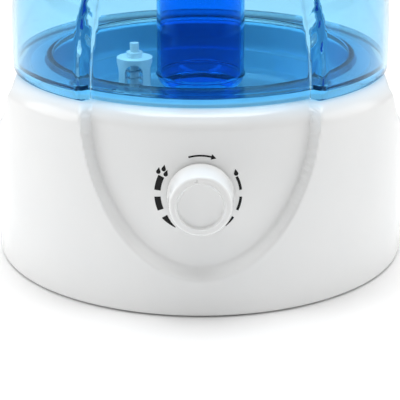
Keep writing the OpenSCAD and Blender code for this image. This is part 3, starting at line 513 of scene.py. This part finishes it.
print(f"scoops {2 * SCOOP_A} mm wide, {SCOOP_H} mm high")

# %% [markdown]
# ## Base shell
# On the real object this is one large moulding with a 2.5 mm wall: a foot with a small radius, a
# wall that leans in by 1.5 mm, a 10 mm shoulder and a flat deck with a round opening. Its section
# is turned with a ring every 1.25 mm, close enough for the oval's step to stay clean, and then the
# shield and the scoops are sunk into it. The inner wall follows at its own distance. The bosses
# inside are closed in and never seen, so they are left to the CAD model.

# %% Base shell, turned and sunk
BASE_LEAN = 1.5
RING_GAP = 1.25
OPENING_R = 92.9
TURNS = 600
LIP_W = 7.5
wall_low = FOOT_Z + EDGE_R
wall_high = DECK_Z - SHOULDER_R


def wall_radius(z):
    """Radius of the base's outer wall at a height, which is the cone between foot and shoulder."""
    return BASE_R - BASE_LEAN * (z - wall_low) / (wall_high - wall_low)


rings = int((wall_high - wall_low) / RING_GAP)
heights = [wall_low + (wall_high - wall_low) * i / rings for i in range(1, rings)]
outer_skin = (
    arc(BASE_R - EDGE_R, wall_low, EDGE_R, -78, 0, 5)
    + [(wall_radius(z), z) for z in heights]
    + arc(RIM_R, wall_high, SHOULDER_R, 0, 90, 14)
)
inner_skin = (
    arc(RIM_R, wall_high, SHOULDER_R - WALL, 90, 0, 5)
    + [(wall_radius(z) - WALL, z) for z in np.linspace(wall_high, wall_low, 16)[1:]]
    + [(BASE_R - WALL, FOOT_Z + 0.08)]
)
deck = [(RIM_R - LIP_W, DECK_Z), (OPENING_R, DECK_Z), (OPENING_R, DECK_Z - WALL)]
base_shell = turned("base_shell", outer_skin + deck + inner_skin, steps=TURNS)

points = read_points(base_shell)
radius = np.hypot(points[:, 0], points[:, 1])
under_skin = np.where(
    points[:, 2] < wall_high,
    wall_radius(points[:, 2]) - radius,
    np.where(
        radius > RIM_R,
        SHOULDER_R - np.hypot(radius - RIM_R, points[:, 2] - wall_high),
        DECK_Z - points[:, 2],
    ),
)
inset = np.where(under_skin > WALL / 2, WALL, 0)
moved = sink_scoops(sink_shield(points, inset), inset)
on_lip = radius < RIM_R - LIP_W + 0.5
moved[on_lip] = points[on_lip]
write_points(base_shell, moved)
print("base shell: deepest move", round(float(np.abs(moved - points).max()), 2), "mm")

# %% [markdown]
# ## Holes in the base
# The control's bushing comes through the front on a small flat for its nut. At the back a slot,
# open at the foot, takes the cord's grommet: the bottom cover shuts it in. These are cut with
# booleans, the way a mould has pins and blocks there. Other pieces cover the cut edges.

# %% Drilling
def join_shapes(piece, other, how):
    """Applies a boolean of the other piece, which is used up."""
    work_on(piece)
    change = piece.modifiers.new("join", "BOOLEAN")
    change.operation = how
    change.solver = "EXACT"
    change.object = other
    bpy.ops.object.modifier_apply(modifier=change.name)
    bpy.data.objects.remove(other)


def drilled(piece, *pins):
    """Cuts pins out of a piece. A pin is (radius, length, middle, turn), in mm and degrees."""
    cutters = []
    for radius, length, middle, turn in pins:
        bpy.ops.object.select_all(action="DESELECT")
        bpy.ops.mesh.primitive_cylinder_add(
            vertices=48,
            radius=radius * MM,
            depth=length * MM,
            location=[v * MM for v in middle],
            rotation=[math.radians(a) for a in turn],
        )
        bpy.ops.object.transform_apply(location=True, rotation=True, scale=True)
        cutters.append(bpy.context.object)
    for cutter in cutters:
        join_shapes(piece, cutter, "DIFFERENCE")


def block(name, low, high, edge=0):
    """A box between two corners, in mm, with its edges bevelled."""
    bpy.ops.object.select_all(action="DESELECT")
    middle = [(a + b) / 2 * MM for a, b in zip(low, high)]
    bpy.ops.mesh.primitive_cube_add(
        size=1, location=middle, scale=[(b - a) * MM for a, b in zip(low, high)]
    )
    piece = bpy.context.object
    piece.name = name
    bpy.ops.object.transform_apply(location=True, rotation=True, scale=True)
    if edge:
        bpy.ops.object.mode_set(mode="EDIT")
        bpy.ops.mesh.select_all(action="SELECT")
        bpy.ops.mesh.bevel(offset=edge * MM, segments=3)
        bpy.ops.object.mode_set(mode="OBJECT")
    return piece


BUSHING_R = 3.6
NUT_FLAT_R = 8.5
NUT_FLAT_DEPTH = 0.6
PANEL_R = 112.51
PIN_L = 20
FLAT_PIN_L = 6
CORD_Z = 16
SLOT_W = 12
SLOT_TOP = 22
drilled(
    base_shell,
    (BUSHING_R, PIN_L, (0, -PANEL_R, KNOB_Z), (90, 0, 0)),
    (
        NUT_FLAT_R,
        FLAT_PIN_L,
        (0, -PANEL_R + NUT_FLAT_DEPTH - FLAT_PIN_L / 2, KNOB_Z),
        (90, 0, 0),
    ),
)

slot = block("slot", (-SLOT_W / 2, BASE_R / 2, 0), (SLOT_W / 2, BASE_R + 5, SLOT_TOP))
join_shapes(base_shell, slot, "DIFFERENCE")
work_on(base_shell)
bpy.ops.object.shade_smooth_by_angle(angle=math.radians(45))
settle(base_shell, white_abs, "base", "white_abs", "base_housing")

# %% [markdown]
# ## Control knob
# A plain push-on knob of white ABS: slightly tapered so that it leaves its mould, with a rounded
# rim, a low lip round a dished face, and a small dimple that shows the setting. Behind, it is
# hollow round a hub. It is turned standing up and then laid on its axis, which points out at the
# front. The dimple is pressed in with a small ball.

# %% Knob
KNOB_BACK = -knob_high.y
KNOB_L = 17.4
KNOB_R = 17.7
KNOB_TIP_R = 16.1
DISH_R = 12.1
DISH_Z = 16
LIP_H = 0.3
HUB_R = 6.5
HUB_Z = 4.5
SHAFT_R = 3.05
knob = turned(
    "knob",
    rounded(
        [
            (0, DISH_Z - 0.2), (DISH_R - 0.5, DISH_Z, 0.5), (DISH_R, KNOB_L + LIP_H, 0.3),
            (DISH_R + 0.7, KNOB_L + LIP_H, 0.25), (DISH_R + 1.1, KNOB_L, 0.3),
            (KNOB_TIP_R, KNOB_L, 1.8), (KNOB_R, 0, 0.4), (13.8, 0, 0.3), (13.6, 11, 1),
            (HUB_R, 11, 0.5), (HUB_R, HUB_Z, 0.3), (SHAFT_R, HUB_Z, 0.3), (SHAFT_R, 15), (0, 15),
        ],
        steps=6,
    ),
    steps=180,
)
DIMPLE_ANGLE = math.radians(9)
DIMPLE_RING = 14
DIMPLE_R = 1
bpy.ops.object.select_all(action="DESELECT")
bpy.ops.mesh.primitive_uv_sphere_add(
    segments=32,
    ring_count=16,
    radius=DIMPLE_R * MM,
    location=(
        -DIMPLE_RING * math.sin(DIMPLE_ANGLE) * MM,
        DIMPLE_RING * math.cos(DIMPLE_ANGLE) * MM,
        (KNOB_L + 0.4) * MM,
    ),
)
ball = bpy.context.object
bpy.ops.object.transform_apply(location=True, rotation=True, scale=True)
join_shapes(knob, ball, "DIFFERENCE")


def laid_on(piece, move, turn):
    """Turns a piece made on the Z axis and puts it at its place, in mm, in its own mesh."""
    work_on(piece)
    piece.rotation_euler = [math.radians(a) for a in turn]
    piece.location = [v * MM for v in move]
    bpy.ops.object.transform_apply(location=True, rotation=True, scale=True)


laid_on(knob, (0, -KNOB_BACK, KNOB_Z), (90, 0, 0))
bpy.ops.object.shade_smooth_by_angle(angle=math.radians(45))
settle(knob, white_abs, "knob", "white_abs", "control_knob")

# %% [markdown]
# ## Feet and cord grommet
# Four rubber feet are let into the bottom cover. Each has a shallow dish under it that grips like
# a suction cup. One is made and copied, each copy with its own mesh. The grommet at the back is
# the only trace of the cord: a rubber bush with a lip inside and outside the wall, and a block
# that fills the slot below it.

# %% Feet
PAD_RING = 92
PAD_R = 9
PAD_H = 2.5
PAD_DISH = 0.35
foot = turned(
    "foot_1",
    rounded(
        [
            (0, PAD_DISH), (6.1, PAD_DISH, 0.3), (6.6, 0, 0.2), (8.1, 0, 0.4),
            (PAD_R, 0.9, 0.6), (PAD_R, PAD_H), (0, PAD_H),
        ],
        steps=4,
    ),
    steps=72,
)
feet = [foot]
for i in range(1, 4):
    work_on(foot)
    bpy.ops.object.duplicate()
    bpy.context.object.name = f"foot_{i + 1}"
    feet.append(bpy.context.object)
for i, piece in enumerate(feet):
    side = math.radians(90 * i)
    laid_on(piece, (PAD_RING * math.cos(side), PAD_RING * math.sin(side), 0), (0, 0, 90 * i))
    settle(piece, rubber, "base", "rubber", "rubber_feet")

# %% Grommet
grommet_low, grommet_high = node_box("cord_grommet")
inside, outside = grommet_low.y, grommet_high.y
CORD_BORE_R = 3.2
GROMMET_R = 8
GROMMET_NECK_R = 5.5
grommet = turned(
    "grommet",
    rounded(
        [
            (CORD_BORE_R, inside, 0.5), (GROMMET_R, inside, 0.6), (GROMMET_R, inside + 2.4, 0.4),
            (GROMMET_NECK_R, inside + 2.4), (GROMMET_NECK_R, outside - 1.7),
            (GROMMET_R, outside - 1.7, 0.3), (GROMMET_R, outside, 1.0),
            (CORD_BORE_R, outside, 0.8),
        ],
        steps=4,
    ),
    steps=72,
)
laid_on(grommet, (0, 0, CORD_Z), (-90, 0, 0))
PLUG_PLAY = 0.05
plug_half = SLOT_W / 2 - PLUG_PLAY
plug_block = block(
    "plug_block",
    (-plug_half, BASE_R - WALL + 0.1, 3),
    (plug_half, BASE_R - 0.6, SLOT_TOP - PLUG_PLAY),
    0.4,
)
drilled(plug_block, (4, PIN_L, (0, BASE_R, CORD_Z), (90, 0, 0)))
join_shapes(grommet, plug_block, "UNION")
work_on(grommet)
bpy.ops.object.shade_smooth_by_angle(angle=math.radians(40))
settle(grommet, rubber, "base", "rubber", "cord_grommet")

# %% [markdown]
# ## Water basin
# The basin hangs in the deck's opening by a flange. It is polypropylene, which mist and water
# don't harm, with generous radii so that it wipes clean. In the middle is the well with the hole
# over the mist maker. An air riser stands behind it, a pin with ribs round its root that lifts
# the tank's valve stands in front on the left, and a post for the float on the right. The round
# of the basin is turned, and the small posts are joined on with booleans.

# %% Basin
FLANGE_R = node_box("water_basin")[1].x
FLANGE_TOP = 112
BASIN_R = 92.6
BASIN_Z = 65.5
WELL_R = 26.5
WELL_LOW = 45
WELL_Z = 50
MIST_HOLE_R = 8.5
basin = turned(
    "basin",
    rounded(
        [
            (FLANGE_R, FLANGE_TOP, 0.7), (FLANGE_R, DECK_Z), (BASIN_R, DECK_Z),
            (BASIN_R, BASIN_Z, 4), (WELL_R, BASIN_Z, 2), (WELL_R, WELL_LOW, 2),
            (MIST_HOLE_R, WELL_LOW), (MIST_HOLE_R, WELL_Z, 0.8), (WELL_R - WALL, WELL_Z, 3),
            (WELL_R - WALL, BASIN_Z + WALL, 2.5), (BASIN_R - WALL, BASIN_Z + WALL, 5),
            (BASIN_R - WALL, FLANGE_TOP, 1),
        ],
        steps=6,
    ),
    steps=240,
)
RISER_Y = 60
RISER_R = 16
RISER_BORE_R = 13
RISER_TOP = 89.5
ROOT_Z = BASIN_Z + WALL - 1
riser = turned(
    "riser",
    rounded([(RISER_R, ROOT_Z), (RISER_R, RISER_TOP, 0.7), (12.5, RISER_TOP), (12.5, ROOT_Z)]),
    steps=72,
)
laid_on(riser, (0, RISER_Y, 0), (0, 0, 0))
PIN_X, PIN_Y = -37, -30
PIN_R = 3.3
PIN_TOP = 75
pin_section = rounded([(0, PIN_TOP), (PIN_R, PIN_TOP, 0.8), (PIN_R, ROOT_Z), (0, ROOT_Z)], steps=4)
pin = turned("pin", pin_section, steps=40)
laid_on(pin, (PIN_X, PIN_Y, 0), (0, 0, 0))
POST_X, POST_Y = 58, -20
POST_R = 3
POST_TOP = 87
post = turned(
    "post", rounded([(0, POST_TOP), (POST_R, POST_TOP), (POST_R, ROOT_Z), (0, ROOT_Z)]), steps=40
)
laid_on(post, (POST_X, POST_Y, 0), (0, 0, 0))
for shape in (riser, pin, post):
    join_shapes(basin, shape, "UNION")
RIB_Z = 69.6
RIB_SIZE = (12, 1.4, 5.2)
for turn in (0, 60, 120):
    bpy.ops.object.select_all(action="DESELECT")
    bpy.ops.mesh.primitive_cube_add(
        size=1,
        location=(PIN_X * MM, PIN_Y * MM, RIB_Z * MM),
        rotation=(0, 0, math.radians(turn)),
        scale=[v * MM for v in RIB_SIZE],
    )
    bpy.ops.object.transform_apply(location=True, rotation=True, scale=True)
    join_shapes(basin, bpy.context.object, "UNION")
drilled(basin, (RISER_BORE_R, 30, (0, RISER_Y, BASIN_Z + WALL), (0, 0, 0)))
work_on(basin)
bpy.ops.object.shade_smooth_by_angle(angle=math.radians(40))
settle(basin, white_pp, "base", "white_pp", "water_basin")

# %% [markdown]
# ## Tank shell
# The tank is one clear blue moulding. Its wall rises almost straight from the seam and rounds over
# into a flat dome, a curve between an ellipse and a box. The outer skin is drawn from that curve,
# the inner skin lies 2.5 mm inside it, and both meet at the lower rim and at the round mouth that
# the chimney passes through. The same oval is sunk in it, so it lines up with the base.

# %% Tank shell
MOUTH_R = 25.5
TANK_RING_GAP = 1.8


def dome_radius(z):
    """Radius of the tank's outer skin at a height."""
    share = min(max((z - TANK_Z) / TANK_H, 0), 1)
    return RIM_R * (1 - share**DOME_POWER) ** (1 / DOME_POWER)


def dome_height(radius):
    """Height of the tank's outer skin at a radius."""
    return TANK_Z + TANK_H * (1 - (radius / RIM_R) ** DOME_POWER) ** (1 / DOME_POWER)


CURVE_Z = 240
straight_count = int((CURVE_Z - TANK_Z) / TANK_RING_GAP)
wall_line = [
    (dome_radius(z), z) for z in np.linspace(TANK_Z + 0.6, CURVE_Z, straight_count)
]
top_line = [(r, dome_height(r)) for r in np.linspace(dome_radius(CURVE_Z), MOUTH_R, 24)[1:]]
outer_line = wall_line + top_line
inner_line = []
for before, here, after in zip(outer_line, outer_line[2:], outer_line[4:]):
    along = (Vector(after) - Vector(before)).normalized()
    point = Vector(here) + WALL * Vector((-along.y, along.x))
    if point.x > MOUTH_R + 0.5:
        inner_line.append(tuple(point))
inner_line = [(RIM_R - WALL, TANK_Z + 0.5)] + inner_line[::2]
inner_line.append((MOUTH_R, dome_height(MOUTH_R) - WALL))
lower_rim = [(RIM_R - WALL + 0.4, TANK_Z), (RIM_R - 0.6, TANK_Z), (RIM_R - 0.18, TANK_Z + 0.18)]
tank = turned("clear_tank", lower_rim + outer_line + inner_line[::-1], steps=480, sharp=50)

points = read_points(tank)
radius = np.hypot(points[:, 0], points[:, 1])
skin = np.array([dome_radius(z) for z in points[:, 2]])
top = np.array([dome_height(min(r, RIM_R)) for r in radius])
inset = np.where(np.minimum(skin - radius, top - points[:, 2]) > WALL / 2, WALL, 0)
write_points(tank, sink_shield(points, inset))
settle(tank, blue_clear, "tank", "blue_clear", "tank_shell")

# %% [markdown]
# ## Tank floor
# The floor closes the tank from below. A shelf runs in from the wall just above the seam, and from
# it a tub hangs down into the basin, so the water stands lower than the rim. The chimney's foot
# goes through its middle, and the filler neck hangs from it on the left, with two fine beads that
# the cap turns on.

# %% Tank floor
SHELF_R = 105.95
SHELF_Z = 114.65
TUB_R = 88.1
TUB_Z = 94
FLOOR_HOLE_R = 21.55
NECK_R = 19.2
NECK_BORE_R = 17.2
NECK_LOW = 83.5
NECK_BEAD = 0.25
tank_floor = turned(
    "tank_tub",
    rounded(
        [
            (SHELF_R, SHELF_Z), (TUB_R, SHELF_Z, 1.2), (TUB_R, TUB_Z, 4.5), (FLOOR_HOLE_R, TUB_Z),
            (FLOOR_HOLE_R, TUB_Z + WALL), (TUB_R - WALL, TUB_Z + WALL, 3),
            (TUB_R - WALL, SHELF_Z + WALL, 1.5), (SHELF_R, SHELF_Z + WALL),
        ],
        steps=6,
    ),
    steps=360,
)
points = read_points(tank_floor)
moved = sink_shield(points, WALL)
inner_part = np.hypot(points[:, 0], points[:, 1]) < 100
moved[inner_part] = points[inner_part]
write_points(tank_floor, moved)

neck = turned(
    "neck",
    rounded(
        [
            (NECK_R, TUB_Z + 0.2), (NECK_R, 88.6), (NECK_R + NECK_BEAD, 88.0, 0.2), (NECK_R, 87.4),
            (NECK_R, 86.4), (NECK_R + NECK_BEAD, 85.8, 0.2), (NECK_R, 85.2),
            (NECK_R, NECK_LOW, 0.4),
            (NECK_BORE_R, NECK_LOW, 0.4), (NECK_BORE_R, TUB_Z + 0.2),
        ],
        steps=3,
    ),
    steps=96,
)
laid_on(neck, (PIN_X, PIN_Y, 0), (0, 0, 0))
drilled(tank_floor, (NECK_BORE_R, 12, (PIN_X, PIN_Y, TUB_Z), (0, 0, 0)))
join_shapes(tank_floor, neck, "UNION")
work_on(tank_floor)
bpy.ops.object.shade_smooth_by_angle(angle=math.radians(40))
settle(tank_floor, blue_clear, "tank", "blue_clear", "tank_floor")

# %% [markdown]
# ## Mist chimney and collar
# Mist rises through a deep blue tube in the middle of the tank. Its foot is a narrower bowl that
# flares out to the full tube, with a fine bead where they meet. At the top it comes out through
# the dome, where a white ABS collar trims it and carries the nozzle.

# %% Chimney
CHIMNEY_WALL = 2
chimney_low, chimney_high = node_box("mist_chimney")
FOOT_R = 21.5
BOWL_Z = 96.5
BOWL_H = 6
BEAD = 1
bowl = [
    (
        FOOT_R + (MOUTH_R - FOOT_R) * math.sin(math.radians(a)),
        BOWL_Z + BOWL_H * (1 - math.cos(math.radians(a))),
    )
    for a in range(0, 85, 7)
]
bead = rounded(
    [
        (MOUTH_R, BOWL_Z + BOWL_H - BEAD), (MOUTH_R + BEAD, BOWL_Z + BOWL_H, 0.5),
        (MOUTH_R, BOWL_Z + BOWL_H + BEAD),
    ],
    steps=4,
)
tube_outside = [(MOUTH_R, z) for z in np.linspace(115, chimney_high.z - 0.5, 10)]
tube_inside = [(MOUTH_R - CHIMNEY_WALL, z) for z in np.linspace(chimney_high.z, 105, 10)]
bowl_inside = [(r - CHIMNEY_WALL, z + 0.6) for r, z in bowl[::-1]]
chimney = turned(
    "mist_tube",
    [(FOOT_R, chimney_low.z)] + bowl + bead + tube_outside
    + [(MOUTH_R - 0.5, chimney_high.z)] + tube_inside + bowl_inside
    + [(FOOT_R - CHIMNEY_WALL, chimney_low.z)],
    steps=160,
)
settle(chimney, blue_deep, "tank", "blue_deep", "mist_chimney")

# %% Collar
collar_high = node_box("nozzle_collar")[1]
COLLAR_R = collar_high.x
under = [(r, dome_height(r)) for r in np.linspace(MOUTH_R + 0.02, COLLAR_R, 6)]
collar = turned(
    "top_collar",
    under
    + rounded(
        [
            under[-1], (COLLAR_R, collar_high.z, 1.0), (MOUTH_R + 0.02, collar_high.z, 0.5),
            under[0],
        ],
        steps=5,
    )[1:-1],
    steps=180,
)
settle(collar, white_abs, "tank", "white_abs", "nozzle_collar")

# %% [markdown]
# ## Mist nozzle
# The nozzle is a low bell with a short spout that throws the mist forward and up. In the real
# moulding the spout flows out of the bell with a radius. So the two outer forms are joined, remade
# as one even skin with a voxel remesh, and smoothed until the corner between them is a fillet. The
# hollow is cut afterwards, which keeps its edges crisp.

# %% Nozzle
nozzle_low = node_box("mist_nozzle")[0]
BELL_LOW = collar_high.z + 0.3
BELL_R = 32
BELL_H = 24
BELL_ROUND = 19
NOZZLE_WALL = 2
SPOUT_R = 11.5
SPOUT_L = 31
SPOUT_TILT = 55
SPIGOT_R = 23.2


def bell(name, less, low):
    """The bell's form, less a wall all round, standing on a height."""
    return turned(
        name,
        [(0, low), (BELL_R - less, low)]
        + arc(BELL_R - BELL_ROUND, BELL_LOW + 5, BELL_ROUND - less, 0, 90, 18)
        + [(0, BELL_LOW + BELL_H - less)],
        steps=144,
    )


def spout(name, radius, start, end):
    """A round bar along the spout's axis, between two distances from the nozzle's axis."""
    piece = turned(name, rounded([(0, end), (radius, end, 0.4), (radius, start), (0, start)]), 96)
    laid_on(piece, (0, 0, BELL_LOW + BELL_H * 0.42), (SPOUT_TILT, 0, 0))
    return piece


nozzle = bell("spray_nozzle", 0, BELL_LOW)
join_shapes(nozzle, spout("spout", SPOUT_R, 0, SPOUT_L), "UNION")
work_on(nozzle)
VOXEL = 0.7
nozzle.data.remesh_voxel_size = VOXEL * MM
bpy.ops.object.voxel_remesh()
work_on(nozzle)
bpy.ops.object.mode_set(mode="EDIT")
bpy.ops.mesh.select_all(action="SELECT")
bpy.ops.mesh.vertices_smooth(factor=0.5, repeat=12)
bpy.ops.object.mode_set(mode="OBJECT")
spigot = turned(
    "spigot",
    rounded(
        [
            (SPIGOT_R, BELL_LOW + 1), (SPIGOT_R, nozzle_low.z, 0.6),
            (SPIGOT_R - NOZZLE_WALL, nozzle_low.z, 0.4), (SPIGOT_R - NOZZLE_WALL, BELL_LOW + 1),
        ]
    ),
    steps=144,
)
join_shapes(nozzle, bell("hollow", NOZZLE_WALL, BELL_LOW + NOZZLE_WALL), "DIFFERENCE")
join_shapes(nozzle, spout("bore", SPOUT_R - NOZZLE_WALL, 2, SPOUT_L + 3), "DIFFERENCE")
drilled(nozzle, (SPIGOT_R - NOZZLE_WALL, 8, (0, 0, BELL_LOW), (0, 0, 0)))
join_shapes(nozzle, spigot, "UNION")
work_on(nozzle)
bpy.ops.object.shade_smooth_by_angle(angle=math.radians(40))
settle(nozzle, white_abs, "nozzle", "white_abs", "mist_nozzle")

# %% [markdown]
# ## Valve spring
# A spring of stainless wire shuts the filler valve when the tank is lifted. A small circle is
# swept along a screw line and both ends are closed. On the real object its upper end stays with
# the cage in the cap and its lower end follows the valve. Here it is fixed in place on neither
# body.

# %% Spring
spring_low, spring_high = node_box("valve_spring")
WIRE_R = 0.45
SPRING_R = 5
SPRING_TURNS = 7
pitch = (spring_high.z - spring_low.z - 2 * WIRE_R) / SPRING_TURNS
bpy.ops.object.select_all(action="DESELECT")
bpy.ops.mesh.primitive_circle_add(
    vertices=10,
    radius=WIRE_R * MM,
    location=(SPRING_R * MM, 0, 0),
    rotation=(math.radians(90), 0, 0),
)
spring = bpy.context.object
spring.name = "wound_spring"
bpy.ops.object.transform_apply(location=True, rotation=True, scale=True)
coil = spring.modifiers.new("coil", "SCREW")
coil.axis = "Z"
coil.angle = 2 * math.pi
coil.screw_offset = pitch * MM
coil.iterations = SPRING_TURNS
coil.steps = 32
coil.render_steps = 32
bpy.ops.object.modifier_apply(modifier=coil.name)
bpy.ops.object.mode_set(mode="EDIT")
bpy.ops.mesh.select_all(action="SELECT")
bpy.ops.mesh.fill_holes(sides=0)
bpy.ops.mesh.select_all(action="SELECT")
bpy.ops.mesh.normals_make_consistent(inside=False)
bpy.ops.object.mode_set(mode="OBJECT")
laid_on(spring, (PIN_X, PIN_Y, spring_low.z + WIRE_R), (0, 0, 0))
bpy.ops.object.shade_smooth_by_angle(angle=math.radians(40))
paint(spring, steel)
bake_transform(spring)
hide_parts("valve_spring")
print("wound_spring:", len(spring.data.polygons), "faces")

# %% [markdown]
# ## Floor and light
# The floor is plain and nearly white, as a photographer's table is. A large soft light hangs over
# the object, a little behind its middle, and a softer one stands at each side. The sides of the
# base then come out brighter than its middle, and the shadow stays dark and close to the foot. A
# weak one from the front keeps the lips of the shield and the knob's face readable.

# %% Floor
bpy.ops.object.select_all(action="DESELECT")
bpy.ops.mesh.primitive_plane_add(size=8)
floor = bpy.context.object
floor.name = "floor"
paper = grained("matt_white_paper", "#F7F7F7", "#F4F4F4", (0.85, 0.95), 3, 0.01)
paint(floor, paper)


print("floor", floor.name, "of", paper.name)


# %% Lights
def soft_light(name, place, size, power, aim=(0, 0, 0.12)):
    """A square area light that faces a point."""
    bpy.ops.object.light_add(type="AREA", location=place)
    light = bpy.context.object
    light.name = name
    light.data.size = size
    light.data.energy = power
    light.rotation_euler = (Vector(aim) - Vector(place)).to_track_quat("-Z", "Y").to_euler()


soft_light("overhead", (0, 0.32, 1.7), 1.4, 31)
soft_light("left", (-1.5, -0.05, 0.6), 1.1, 9)
soft_light("right", (1.5, -0.05, 0.6), 1.1, 6.5)
soft_light("front", (0, -1.3, 1.5), 1.0, 3)
world = bpy.data.worlds.new("room")
world.use_nodes = True
world.node_tree.nodes["Background"].inputs["Color"].default_value = (1, 1, 1, 1)
world.node_tree.nodes["Background"].inputs["Strength"].default_value = 0.33
bpy.context.scene.world = world
bpy.context.scene.view_settings.view_transform = "Standard"
